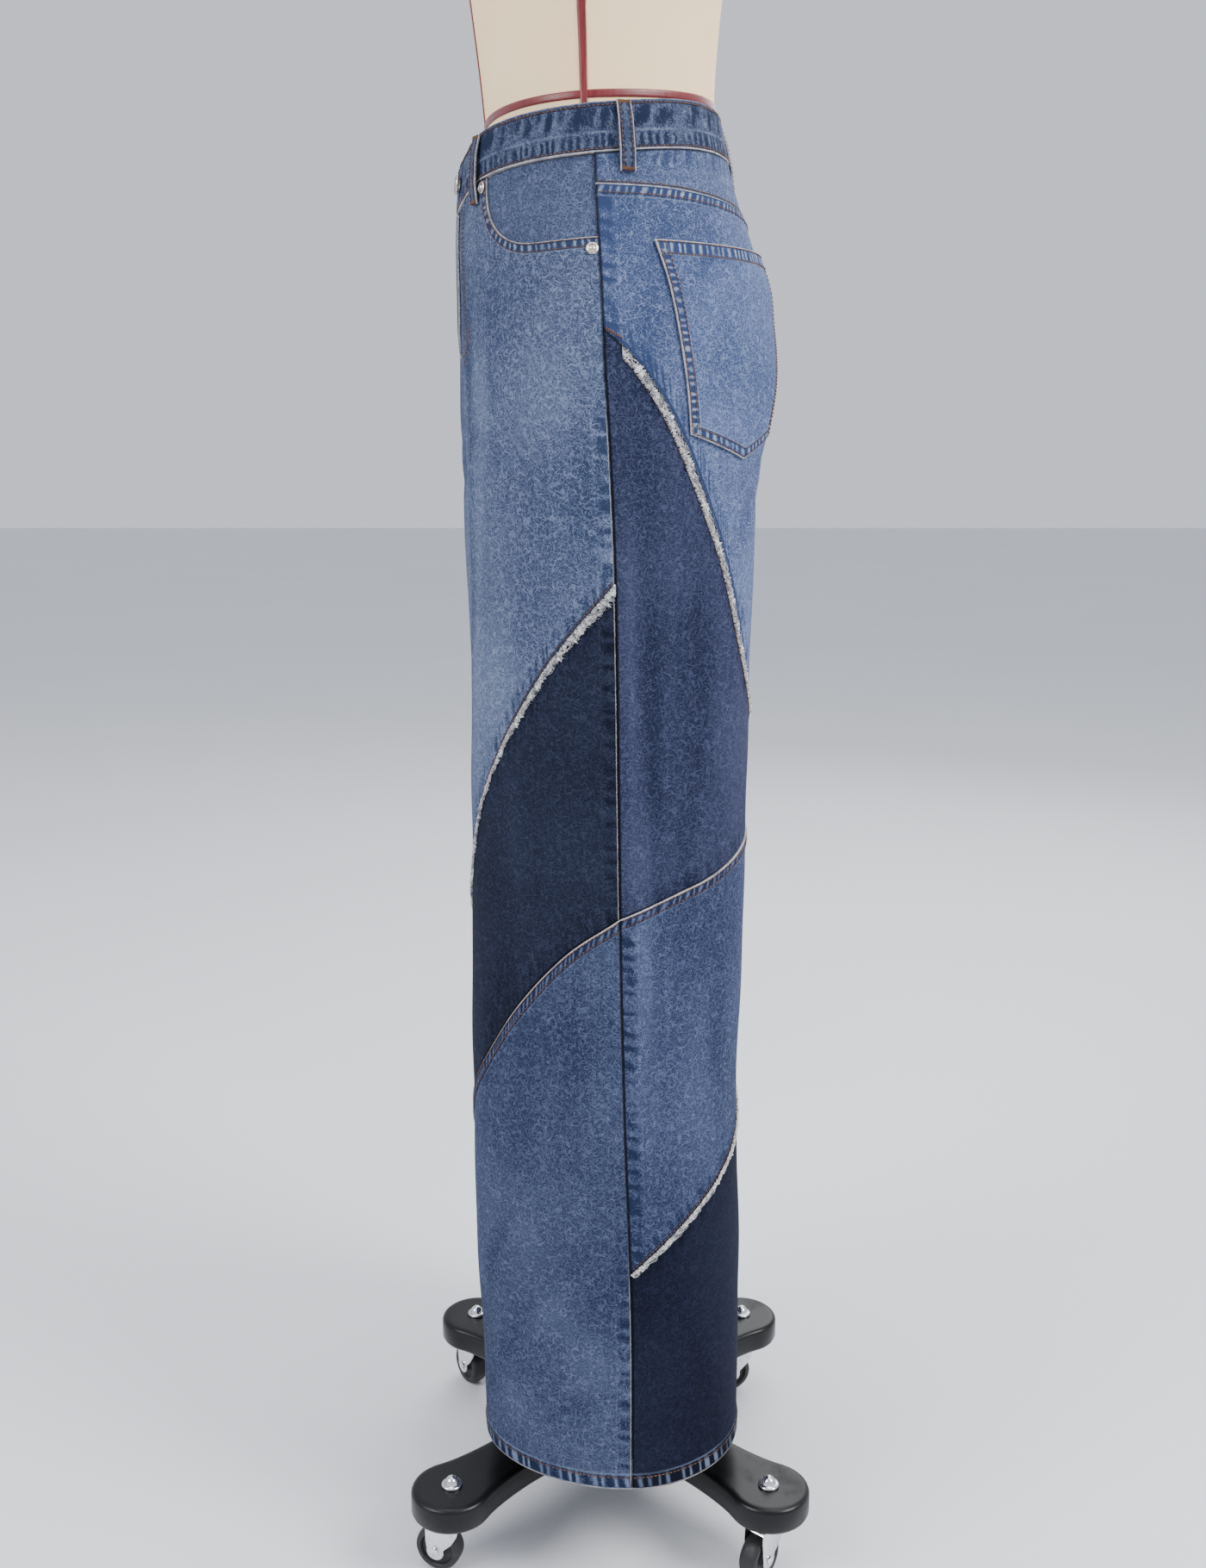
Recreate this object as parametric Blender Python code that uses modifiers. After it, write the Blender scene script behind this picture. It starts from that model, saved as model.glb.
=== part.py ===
"""Wide-leg patchwork jeans on a limbless dress form with a four-caster stand.

Metres, +Z up. The front faces -Y and the wearer's left is +X. The origin is on
the floor, in the middle of the bounding box. Each sewn piece is its own wall.
"""
from math import asin, ceil, cos, degrees, exp, pi, radians, sin, sqrt

import bmesh
import bpy
from mathutils import Matrix, Vector

# Cloth
CLOTH = 0.0016              # denim panel
BAND_CLOTH = 0.0030         # folded waistband
HEM_CLOTH = 0.0030          # turned-up hem
HEM_HEIGHT = 0.012
SEAM_GAP = 0.0003
OVERLAY_LIFT = 0.0006       # clearance of a piece that lies on a panel
COLUMNS = 12                # facets from a leg's inseam round to its outseam
CROTCH_ROWS = 6
ROW_STEP = 0.095            # height of a facet along the inseam
SEAT_ROW_STEP = 0.045       # and over the seat
INSEAM_GAP_ANGLE = 0.04     # half the gap between front and back at the inseam, in degrees

# Lengths of the garment, from the floor up
HEM_Z = 0.100
CROTCH_Z = 0.900
SPLIT_HEIGHT = 0.120        # the two legs part over this height above the crotch
CUFF_CLEARANCE = 0.010      # from the middle plane to the inseam at the hem

# The form stands a little turned over its base, and the legs hang back square
BODY_TURN = radians(7.0)
TURN_FROM_Z = 0.35
TURN_TO_Z = 1.00

# Half sections of the garment: outer half width, then depths from the pole's
# plane to the front, the side seam and the back
SECTIONS = (
    # height, side,   front,   seam,    back
    (0.100, 0.1965, -0.1055, 0.0175, 0.1080),
    (0.250, 0.1940, -0.1105, 0.0165, 0.1070),
    (0.420, 0.1910, -0.1120, 0.0095, 0.1040),
    (0.580, 0.1880, -0.1140, 0.0000, 0.1030),
    (0.720, 0.1860, -0.1155, -0.0090, 0.1005),
    (0.820, 0.1840, -0.1170, -0.0155, 0.1015),
    (0.900, 0.1800, -0.1190, -0.0210, 0.1035),
    (0.975, 0.1690, -0.1200, -0.0255, 0.1225),
    (1.030, 0.1560, -0.1200, -0.0265, 0.1250),
    (1.075, 0.1420, -0.1200, -0.0275, 0.1085),
    (1.110, 0.1320, -0.1180, -0.0280, 0.0965),
    (1.165, 0.1235, -0.1140, -0.0285, 0.0830),
)

# Long soft troughs in the cloth, each round an angle of the left leg
FOLDS = (
    # angle, width, low,  high, depth
    (110.0, 11.0, 0.56, 0.95, 0.0040),
    (22.0, 9.0, 0.74, 1.00, 0.0022),
    (60.0, 16.0, 0.14, 0.32, 0.0025),
    (205.0, 13.0, 0.45, 0.80, 0.0035),
    (-48.0, 13.0, 0.40, 0.78, 0.0030),
)

# Seam lines round the left leg: angle in degrees from the front, and height
WAIST_LINE = (
    (0.0, 1.093), (12.0, 1.100), (30.0, 1.110), (90.0, 1.1205), (135.0, 1.130), (180.0, 1.130),
)
YOKE_LINE = ((90.0, 1.0995), (120.0, 1.0990), (150.0, 1.0945), (180.0, 1.0860))
FRONT_FRAY_LINE = (
    (-90.0, 0.400), (-45.0, 0.470), (0.0, 0.577), (25.0, 0.657), (45.0, 0.716), (65.0, 0.770), (90.0, 0.822),
)
FRONT_FELL_LINE = (
    (-90.0, 0.210), (-45.0, 0.292), (0.0, 0.388), (25.0, 0.444), (48.0, 0.499), (70.0, 0.546), (90.0, 0.574),
)
BACK_FELL_LINE = (
    (90.0, 0.574), (107.0, 0.586), (136.0, 0.601), (173.0, 0.620), (220.0, 0.641), (270.0, 0.655),
)
BACK_FRAY_LINE = (
    (90.0, 0.999), (100.0, 0.974), (114.0, 0.925), (130.0, 0.862), (150.0, 0.778), (172.0, 0.724),
    (210.0, 0.690), (270.0, 0.672),
)
CALF_FRAY_LINE = (
    (90.0, 0.286), (120.0, 0.327), (140.0, 0.350), (175.0, 0.385), (220.0, 0.435), (270.0, 0.500),
)

# Waistband, belt loops and pockets
BAND_HEIGHT = 0.034
BAND_LIFT = 0.0008          # the band's face stands this far outside the panels
BAND_OVERLAP_X = -0.002     # end of the upper band past the middle plane
BAND_END_RISE = 0.0016
LOOP_WIDTH = 0.012
LOOP_CLOTH = 0.0016
LOOP_BOW = 0.0024           # how far a loop's middle stands off the band
LOOPS = (
    # name, angle, below the band, above its lower edge
    ("left_front_loop", 28.0, 0.0165, 0.0325),
    ("left_side_loop", 100.8, 0.0150, 0.0335),
    ("back_loop", 180.0, 0.0150, 0.0335),
    ("right_side_loop", 259.2, 0.0150, 0.0335),
    ("right_front_loop", 332.0, 0.0165, 0.0325),
)
POCKET_START = 35.0         # angle where the front pocket leaves the waistband
POCKET_FLAT = 62.0          # angle where its edge has turned level
POCKET_RISE_ANGLE = 76.0    # and where it starts to rise towards the side seam
POCKET_DEPTH_Z = 1.0595
POCKET_SIDE_Z = 1.0625
POCKET_SQUARENESS = 2.4
FACING_MARGIN = 0.014       # how far the facing runs on under the front
POCKET_LIFT = 0.0010        # over the seat, which curves two ways
BACK_POCKET_TOP = 1.061
BACK_POCKET_BASE = 0.926
BACK_POCKET_TIP = 0.909
BACK_POCKET_SIDES = ((106.6, 166.5), (116.6, 163.5))    # angles at the top and the base
BACK_POCKET_TIP_AT = 0.56   # along the base
FLY_WIDTH = 0.012
FLY_LOW_Z = 0.985
FLY_LAP = 0.002             # past the middle seam

# Frayed edges: strips that lie on the panel below their seam line
FRAY_WIDTH = 0.0078
FRAY_THIN_WIDTH = 0.0042
FRAY_RISE = 0.0022
FRAY_COLUMNS = 16
FRAY_LIFT = 0.0010
FRAY_SECTION = ((1.0, 0.0008), (0.45, FRAY_RISE), (0.0, 0.0006))    # place across it, thickness
SIDE_GAP_ANGLE = 0.05       # half the gap between front and back at the side seam, in degrees
FRAYS = (
    # name, seam line, first and last angle
    ("front", FRONT_FRAY_LINE, -89.5, 90.0 - SIDE_GAP_ANGLE),
    ("back", BACK_FRAY_LINE, 95.0, 269.5),
    ("calf", CALF_FRAY_LINE, 90.0 + SIDE_GAP_ANGLE, 269.5),
)

# Metal trims
BUTTON_RADIUS = 0.0075
BUTTON_ANGLE = 7.0
BUTTON_Z = 1.1135
RIVET_RADIUS = 0.0045

# Dress form: a solid torso that the waistband rests on
TORSO_SEGMENTS = 28
TORSO = (
    # height, half width, front, widest, back
    (0.985, 0.140, -0.084, -0.022, 0.092),
    (0.990, 0.150, -0.094, -0.0245, 0.104),
    (1.003, 0.154, -0.102, -0.0260, 0.1135),
    (1.030, 0.1485, -0.104, -0.0265, 0.1170),
    (1.075, 0.1355, -0.100, -0.0275, 0.1010),
    (1.110, 0.1280, -0.097, -0.0275, 0.0910),
    (1.135, 0.1245, -0.096, -0.0270, 0.0850),
    (1.165, 0.1200, -0.098, -0.0250, 0.0795),
    (1.220, 0.1205, -0.104, -0.0180, 0.0815),
    (1.280, 0.1290, -0.113, -0.0120, 0.0880),
    (1.340, 0.1440, -0.131, -0.0080, 0.0970),
    (1.395, 0.1530, -0.122, 0.0000, 0.1030),
    (1.450, 0.1640, -0.093, 0.0040, 0.0980),
    (1.490, 0.1630, -0.070, 0.0060, 0.0840),
    (1.518, 0.1300, -0.056, 0.0060, 0.0700),
    (1.538, 0.0820, -0.050, 0.0040, 0.0600),
    (1.560, 0.0600, -0.052, 0.0010, 0.0540),
    (1.600, 0.0540, -0.054, -0.0030, 0.0480),
    (1.610, 0.0500, -0.050, -0.0030, 0.0440),
)

# Stand
BASE_X = 0.0305             # the pole stands inside the left leg
BOLT_OFFSET = 0.1310        # from the pole to each caster bolt, along X and Y
ARM_TOP_Z = 0.078
ARM_THICKNESS = 0.022
ARM_END_RADIUS = 0.034
ARM_END_TURN = radians(126.0)
ARM_OUTLINE = (
    # distance from the pole, half width
    (0.046, 0.0460), (0.058, 0.0362), (0.082, 0.0272), (0.112, 0.0240), (0.142, 0.0252),
)
POLE_RADIUS = 0.0125
COLLAR_RADIUS = 0.0170
COLLAR_HEIGHT = 0.018
NUT_RADIUS = 0.0068
NUT_HEIGHT = 0.0085
STEM_RADIUS = 0.0040
STEM_CLEARANCE = 0.0008
EDGE_BEVEL = 0.002
HOLE_SIDES = 10

# Casters
WHEEL_RADIUS = 0.0195       # to the flats, so that a flat rests on the floor
WHEEL_WIDTH = 0.016
WHEEL_SIDES = 20
AXLE_RADIUS = 0.0025
WHEEL_BORE = 0.0031
HUB_RADIUS = 0.0060
HUB_FACE = 0.86             # of half the wheel's width
HUB_DISH = 0.60
TYRE_INNER_RADIUS = 0.0145
TYRE_EDGE = 0.0018
CASTER_TRAIL = 0.012
CHEEK = 0.0016
CHEEK_GAP = 0.0008
FORK_TOP_Z = 0.0495
BRIDGE = 0.006              # depth of the fork's bridge
BRIDGE_FRONT_Y = 0.0098
CHEEK_END_RADIUS = 0.0078   # rounded lower end of a cheek, round the axle
AXLE_HEAD = 0.0022
STEM_SINK = 0.0004          # below the arm's top face
JOIN_LAP = 0.00003          # keeps joined faces out of one plane
RACE_RADIUS = 0.0140
CASTERS = (
    # name, X side, Y side, heading of the trailing wheel in degrees
    ("front_left", 1, -1, 250.0),
    ("front_right", -1, -1, 215.0),
    ("rear_left", 1, 1, 320.0),
    ("rear_right", -1, 1, 285.0),
)

FINISHES = {
    # base colour, roughness, metallic
    "light_denim": ((0.125, 0.205, 0.365), 0.86, 0.0),
    "dark_denim": ((0.020, 0.042, 0.105), 0.88, 0.0),
    "fray": ((0.720, 0.740, 0.780), 0.95, 0.0),
    "metal_trim": ((0.660, 0.630, 0.590), 0.32, 1.0),
    "form_canvas": ((0.820, 0.720, 0.560), 0.80, 0.0),
    "black_paint": ((0.018, 0.018, 0.020), 0.42, 0.0),
    "chrome": ((0.780, 0.780, 0.790), 0.14, 1.0),
    "wheel_rubber": ((0.012, 0.012, 0.013), 0.55, 0.0),
}

PART_NAME = "wide_leg_jeans"


def clear_scene():
    for old in list(bpy.data.objects):
        bpy.data.objects.remove(old, do_unlink=True)


def finish(name):
    material = bpy.data.materials.get(name)
    if material:
        return material
    colour, roughness, metallic = FINISHES[name]
    material = bpy.data.materials.new(name)
    material.use_nodes = True
    shader = material.node_tree.nodes["Principled BSDF"]
    shader.inputs["Base Color"].default_value = (*colour, 1.0)
    shader.inputs["Roughness"].default_value = roughness
    shader.inputs["Metallic"].default_value = metallic
    material.diffuse_color = (*colour, 1.0)
    return material


def place(name, mesh, material_name, collection):
    """Link a mesh as one named piece, shaded smooth between its sharp edges."""
    piece = bpy.data.objects.new(name, mesh)
    mesh.materials.clear()
    mesh.materials.append(finish(material_name))
    mesh.shade_smooth()
    mesh.set_sharp_from_angle(angle=radians(38.0))
    collection.objects.link(piece)
    return piece


def smooth_line(knots):
    """A curve through (position, value) knots, with slopes from their neighbours."""
    slopes = []
    for i in range(len(knots)):
        a = knots[max(i - 1, 0)]
        b = knots[min(i + 1, len(knots) - 1)]
        slopes.append((b[1] - a[1]) / (b[0] - a[0]))

    def value(position):
        position = min(max(position, knots[0][0]), knots[-1][0])
        i = 0
        while i < len(knots) - 2 and position > knots[i + 1][0]:
            i += 1
        span = knots[i + 1][0] - knots[i][0]
        t = (position - knots[i][0]) / span
        rise = knots[i][1] * (1 + 2 * t) * (1 - t) ** 2 + knots[i + 1][1] * t * t * (3 - 2 * t)
        return rise + span * t * (1 - t) * (slopes[i] * (1 - t) - slopes[i + 1] * t)

    return value


def column(table, index):
    return smooth_line([(row[0], row[index]) for row in table])


side_at = column(SECTIONS, 1)
front_at = column(SECTIONS, 2)
seam_at = column(SECTIONS, 3)
back_at = column(SECTIONS, 4)
waist_height = smooth_line(WAIST_LINE)
yoke_height = smooth_line(YOKE_LINE)


def leg_split(height):
    """0 where both legs share one section, 1 where each is a tube of its own."""
    above = min(max((height - CROTCH_Z) / SPLIT_HEIGHT, 0.0), 1.0)
    return (1 - above * above) ** 2


def middle_angle(height):
    """How far past the front or back centre a leg's section runs to reach X = 0."""
    return degrees(asin(leg_split(height)))


def fold_depth(angle, height):
    depth = 0.0
    for centre, width, low, high, full in FOLDS:
        if low < height < high:
            along = sin(pi * (height - low) / (high - low)) ** 2
            depth += full * along * exp(-(((angle - centre) / width) ** 2))
    return depth


def section_point(angle, height):
    split = leg_split(height)
    inseam = SEAM_GAP / 2 + CUFF_CLEARANCE * max(CROTCH_Z - height, 0.0) / (CROTCH_Z - HEM_Z)
    half_width = (side_at(height) - inseam) / (1 + split)
    depth = seam_at(height) - front_at(height) if angle <= 90.0 else back_at(height) - seam_at(height)
    a = radians(angle)
    return Vector((inseam + half_width * (split + sin(a)), seam_at(height) - depth * cos(a), height))


def cloth_normal(angle, height):
    round_step = section_point(angle + 0.5, height) - section_point(angle - 0.5, height)
    up_step = section_point(angle, height + 0.002) - section_point(angle, height - 0.002)
    return round_step.cross(up_step).normalized()


def turned(point):
    t = (point.z - TURN_FROM_Z) / (TURN_TO_Z - TURN_FROM_Z)
    t = min(max(t, 0.0), 1.0)
    return Matrix.Rotation(BODY_TURN * t * t * (3 - 2 * t), 3, "Z") @ point


def cloth_point(angle, height, out=0.0, side=1):
    """A point on the left leg (side 1) or the right (-1), moved out from the cloth's face."""
    fold = fold_depth(angle, height)
    if height > CROTCH_Z:
        edge = middle_angle(height)
        to_edge = min(angle + edge, 180.0 + edge - angle)
        fold *= min(max(to_edge / 12.0, 0.0), 1.0)
    point = section_point(angle, height) + cloth_normal(angle, height) * (out - fold)
    point.x = max(point.x, SEAM_GAP / 2) * side
    return turned(point)


def waist_point(angle, height, out=0.0):
    """A point of the undivided upper body at any angle round it."""
    angle %= 360.0
    side = 1
    if angle > 180.0:
        angle = 360.0 - angle
        side = -1
    point = section_point(angle, height) + cloth_normal(angle, height) * out
    point.x *= side
    return turned(point)


def closed_wall(name, outer, inner, flip=False):
    """A mesh between two equal grids of points, closed all round its rim."""
    rows = len(outer)
    columns = len(outer[0])
    points = [p for grid in (outer, inner) for row in grid for p in row]

    def index(skin, j, i):
        return skin * rows * columns + j * columns + i

    faces = []
    for j in range(rows - 1):
        for i in range(columns - 1):
            quad = [(j, i), (j, i + 1), (j + 1, i + 1), (j + 1, i)]
            faces.append([index(0, *corner) for corner in quad])
            faces.append([index(1, *corner) for corner in reversed(quad)])
    rim = [(0, i) for i in range(columns)]
    rim += [(j, columns - 1) for j in range(1, rows)]
    rim += [(rows - 1, i) for i in range(columns - 2, -1, -1)]
    rim += [(j, 0) for j in range(rows - 2, 0, -1)]
    for a, b in zip(rim, rim[1:] + rim[:1]):
        faces.append([index(0, *b), index(0, *a), index(1, *a), index(1, *b)])
    if flip:
        faces = [face[::-1] for face in faces]
    mesh = bpy.data.meshes.new(name)
    mesh.from_pydata(points, [], faces)
    mesh.update()
    return mesh


def blend_patch(low, high, start, end):
    """A grid of (angle, height) spanned between four edges that meet at the corners."""
    last_row = len(start) - 1
    last_column = len(low) - 1
    span = start[-1][1] - start[0][1]
    other_span = end[-1][1] - end[0][1]
    grid = []
    for j in range(last_row + 1):
        t = (start[j][1] - start[0][1]) / span if span > other_span else (end[j][1] - end[0][1]) / other_span
        row = []
        for i in range(last_column + 1):
            s = i / last_column
            corners = [
                (1 - s) * (1 - t) * low[0][k] + s * (1 - t) * low[-1][k]
                + (1 - s) * t * high[0][k] + s * t * high[-1][k]
                for k in (0, 1)
            ]
            row.append(tuple(
                (1 - t) * low[i][k] + t * high[i][k] + (1 - s) * start[j][k] + s * end[j][k] - corners[k]
                for k in (0, 1)
            ))
        grid.append(row)
    return grid


def arc_per_degree(angle, height):
    step = section_point(angle + 0.5, height) - section_point(angle - 0.5, height)
    return step.length


def edge_line(line, angles, shift):
    """Points of a seam line, moved across it by shift so that two pieces stay apart."""
    points = []
    for angle in angles:
        low = max(angle - 1.0, angles[0])
        high = min(angle + 1.0, angles[-1])
        slope = (line(high) - line(low)) / ((high - low) * arc_per_degree(angle, line(angle)))
        points.append((angle, line(angle) + shift * sqrt(1 + slope * slope)))
    return points


def even(start, end, count):
    return [start + (end - start) * i / count for i in range(count + 1)]


def side_angle(back):
    """The side seam, half a gap to the front or the back of it."""
    return 90.0 + (SIDE_GAP_ANGLE if back else -SIDE_GAP_ANGLE)


def crotch_heights():
    """Heights from the crotch up, where the middle seam has turned by even steps."""
    turns = [radians(90.0 * k / CROTCH_ROWS) for k in range(1, CROTCH_ROWS)]
    return [CROTCH_Z] + [CROTCH_Z + SPLIT_HEIGHT * sqrt(1 - sqrt(cos(turn))) for turn in turns]


def middle_edge(low, high, back):
    """The inseam and the middle seam from height low to high, as (angle, height)."""
    below = max(1, ceil((CROTCH_Z - low) / ROW_STEP))
    heights = even(low, CROTCH_Z, below)[:-1] + crotch_heights()
    top = heights[-1]
    heights += even(top, high, max(1, ceil((high - top) / SEAT_ROW_STEP)))[1:]
    inseam = INSEAM_GAP_ANGLE
    if back:
        return [(180.0 + middle_angle(z) - (inseam if z <= CROTCH_Z else 0.0), z) for z in heights]
    return [(-middle_angle(z) + (inseam if z <= CROTCH_Z else 0.0), z) for z in heights]


def panel(name, grid, side, finish_name, collection, hem=False):
    outer = [[cloth_point(a, z, 0.0, side) for a, z in row] for row in grid]
    inner = []
    for row in grid:
        inner.append([
            cloth_point(a, z, -HEM_CLOTH if hem and z < HEM_Z + HEM_HEIGHT * 1.01 else -CLOTH, side)
            for a, z in row
        ])
    return place(name, closed_wall(name, outer, inner, flip=side < 0), finish_name, collection)


def ring_patch(low, high, rows, hem=False):
    """A patch between two seam lines on a leg's tube, with a hem's rows if it has one."""
    start = [(low[0][0], z) for z in even(low[0][1], high[0][1], rows)]
    end = [(low[-1][0], z) for z in even(low[-1][1], high[-1][1], rows)]
    grid = blend_patch(low, high, start, end)
    if hem:
        hem_rows = [[(a, HEM_Z) for a, z in low], [(a, HEM_Z + HEM_HEIGHT) for a, z in low]]
        hem_rows.append([(a, HEM_Z + HEM_HEIGHT + 0.001) for a, z in low])
        grid = hem_rows + grid[1:]
    return grid


def pocket_edge():
    """The front pocket's opening: a squared quarter round, then level to the side seam."""
    points = []
    top = waist_height(POCKET_START)
    for step in (0.0, 0.12, 0.30, 0.50, 0.74):
        a = step * pi / 2
        across = cos(a) ** (2 / POCKET_SQUARENESS)
        down = sin(a) ** (2 / POCKET_SQUARENESS)
        angle = POCKET_FLAT - (POCKET_FLAT - POCKET_START) * across
        points.append((angle, top - (top - POCKET_DEPTH_Z) * down))
    points.append((POCKET_FLAT, POCKET_DEPTH_Z))
    points.append((POCKET_RISE_ANGLE, POCKET_DEPTH_Z + 0.0008))
    points.append((side_angle(False), POCKET_SIDE_Z))
    return points


def make_front_panels(side, word, collection):
    half = SEAM_GAP / 2
    angles = even(-90.0 + INSEAM_GAP_ANGLE, side_angle(False), COLUMNS)
    fray = smooth_line(FRONT_FRAY_LINE)
    fell = smooth_line(FRONT_FELL_LINE)

    pocket = pocket_edge()
    top = [(a, waist_height(a) - half) for a in even(0.0, POCKET_START, COLUMNS - len(pocket) + 1)[:-1]]
    top += [(a, z - half) for a, z in pocket]
    low = edge_line(fray, angles, half)
    start = middle_edge(low[0][1], top[0][1], back=False)
    rows = [(z - start[0][1]) / (start[-1][1] - start[0][1]) for a, z in start]
    end = [(side_angle(False), low[-1][1] + (top[-1][1] - low[-1][1]) * t) for t in rows]
    panel(f"{word}_front_upper", blend_patch(low, top, start, end), side, "light_denim", collection)

    middle = ring_patch(edge_line(fell, angles, half), edge_line(fray, angles, -half), 5)
    panel(f"{word}_front_middle", middle, side, "dark_denim", collection)
    hem = [(a, HEM_Z) for a in angles]
    lower = ring_patch(hem, edge_line(fell, angles, -half), 8, hem=True)
    panel(f"{word}_front_lower", lower, side, "light_denim", collection, hem=True)


def make_back_panels(side, word, collection):
    half = SEAM_GAP / 2
    angles = even(side_angle(True), 270.0 - INSEAM_GAP_ANGLE, COLUMNS)
    upper_angles = even(side_angle(True), 180.0, COLUMNS)
    fray = smooth_line(BACK_FRAY_LINE)
    fell = smooth_line(BACK_FELL_LINE)
    calf = smooth_line(CALF_FRAY_LINE)

    yoke_low = [(a, yoke_height(a) + half) for a in upper_angles]
    yoke_top = [(a, waist_height(a) - half) for a in upper_angles]
    panel(f"{word}_yoke", ring_patch(yoke_low, yoke_top, 2), side, "light_denim", collection)

    low = edge_line(fray, angles, half)
    top = [(a, yoke_height(a) - half) for a in upper_angles]
    end = middle_edge(low[-1][1], top[-1][1], back=True)
    rows = [(z - end[0][1]) / (end[-1][1] - end[0][1]) for a, z in end]
    start = [(side_angle(True), low[0][1] + (top[0][1] - low[0][1]) * t) for t in rows]
    panel(f"{word}_back_upper", blend_patch(low, top, start, end), side, "light_denim", collection)

    middle = ring_patch(edge_line(fell, angles, half), edge_line(fray, angles, -half), 8)
    panel(f"{word}_back_middle", middle, side, "dark_denim", collection)
    lower = ring_patch(edge_line(calf, angles, half), edge_line(fell, angles, -half), 5)
    panel(f"{word}_back_lower", lower, side, "light_denim", collection)
    hem = [(a, HEM_Z) for a in angles]
    bottom = ring_patch(hem, edge_line(calf, angles, -half), 6, hem=True)
    panel(f"{word}_back_bottom", bottom, side, "dark_denim", collection, hem=True)


def make_pocket_facing(side, word, collection):
    """The cloth that shows inside the front pocket's opening, one layer down."""
    pocket = pocket_edge()
    lift = -CLOTH - OVERLAY_LIFT
    grid = []
    for part in (0.0, 0.35, 0.7, 1.0):
        row = []
        for a, z in pocket[1:]:
            low = z - FACING_MARGIN
            row.append((a, low + (waist_height(a) - SEAM_GAP - low) * part))
        lead = pocket[0][0] - 5.0
        low = waist_height(lead) - FACING_MARGIN * 1.6
        row.insert(0, (lead, low + (waist_height(lead) - SEAM_GAP - low) * part))
        grid.append(row)
    outer = [[cloth_point(a, z, lift, side) for a, z in row] for row in grid]
    inner = [[cloth_point(a, z, lift - CLOTH * 0.7, side) for a, z in row] for row in grid]
    name = f"{word}_pocket_facing"
    place(name, closed_wall(name, outer, inner, flip=side < 0), "light_denim", collection)


def make_back_pocket(side, word, collection):
    """A patch pocket with a pointed base, laid on the seat."""
    (top_in, top_out), (base_in, base_out) = BACK_POCKET_SIDES
    columns = 8
    rows = 8
    grid = []
    for j in range(rows + 1):
        t = j / rows
        row = []
        for i in range(columns + 1):
            s = i / columns
            to_tip = min(s / BACK_POCKET_TIP_AT, (1 - s) / (1 - BACK_POCKET_TIP_AT))
            base_z = BACK_POCKET_BASE - (BACK_POCKET_BASE - BACK_POCKET_TIP) * to_tip
            start = base_in + (top_in - base_in) * t
            end = base_out + (top_out - base_out) * t
            row.append((start + (end - start) * s, base_z + (BACK_POCKET_TOP - base_z) * t))
        grid.append(row)
    outer = [[cloth_point(a, z, POCKET_LIFT + CLOTH, side) for a, z in row] for row in grid]
    inner = [[cloth_point(a, z, POCKET_LIFT, side) for a, z in row] for row in grid]
    name = f"{word}_back_pocket"
    place(name, closed_wall(name, outer, inner, flip=side < 0), "light_denim", collection)


def make_fray(name, knots, start, end, side, collection):
    """The frayed edge of an upper panel, hanging from a seam line over the next panel."""
    line = smooth_line(knots)
    outer = []
    inner = []
    for part, thickness in FRAY_SECTION:
        outer_row = []
        inner_row = []
        for angle in even(start, end, FRAY_COLUMNS):
            near_side = 1 - abs(angle - 90.0) / 180.0
            width = FRAY_THIN_WIDTH + (FRAY_WIDTH - FRAY_THIN_WIDTH) * near_side
            metres = arc_per_degree(angle, line(angle))
            slope = (line(angle + 1.0) - line(angle - 1.0)) / (2 * metres)
            length = sqrt(1 + slope * slope)
            a = min(max(angle + width * part * slope / length / metres, start), end)
            z = line(angle) - width * part / length
            outer_row.append(cloth_point(a, z, FRAY_LIFT + thickness, side))
            inner_row.append(cloth_point(a, z, FRAY_LIFT, side))
        outer.append(outer_row)
        inner.append(inner_row)
    place(name, closed_wall(name, outer, inner, flip=side < 0), "fray", collection)


def make_waistband(collection):
    """One folded strip round the waist, its upper end lapped over at the front."""
    start = degrees(asin(BAND_OVERLAP_X / side_at(1.11)))
    gap = degrees(SEAM_GAP / side_at(1.11))
    angles = [start, 3.0] + even(8.0, 352.0, 46) + [357.0, 360.0 + start - gap]
    outer = []
    inner = []
    for part in (0.0, 0.5, 1.0):
        outer_row = []
        inner_row = []
        for angle in angles:
            around = min(abs(angle), 360.0 - angle) if angle > 0 else -angle
            height = waist_height(around) + SEAM_GAP / 2 + BAND_HEIGHT * part
            rise = BAND_END_RISE * max(0.0, 1 - (angle - start) / 14.0)
            outer_row.append(waist_point(angle, height, BAND_LIFT + rise))
            inner_row.append(waist_point(angle, height, BAND_LIFT + rise - BAND_CLOTH))
        outer.append(outer_row)
        inner.append(inner_row)
    place("waistband", closed_wall("waistband", outer, inner), "light_denim", collection)


def make_loops(collection):
    for name, angle, below, above in LOOPS:
        half = degrees(LOOP_WIDTH / 2 / side_at(1.11))
        around = angle if angle <= 180.0 else 360.0 - angle
        seat = waist_height(around)
        outer = []
        inner = []
        for part in (0.0, 0.12, 0.30, 0.5, 0.70, 0.88, 1.0):
            height = seat - below + (below + above) * part
            bow = BAND_LIFT + OVERLAY_LIFT + LOOP_BOW * min(1.0, sin(pi * part) * 1.25)
            row = [waist_point(angle + turn, height, bow) for turn in (-half, 0.0, half)]
            outer.append([waist_point(angle + turn, height, bow + LOOP_CLOTH) for turn in (-half, 0.0, half)])
            inner.append(row)
        place(name, closed_wall(name, outer, inner), "light_denim", collection)


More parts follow.
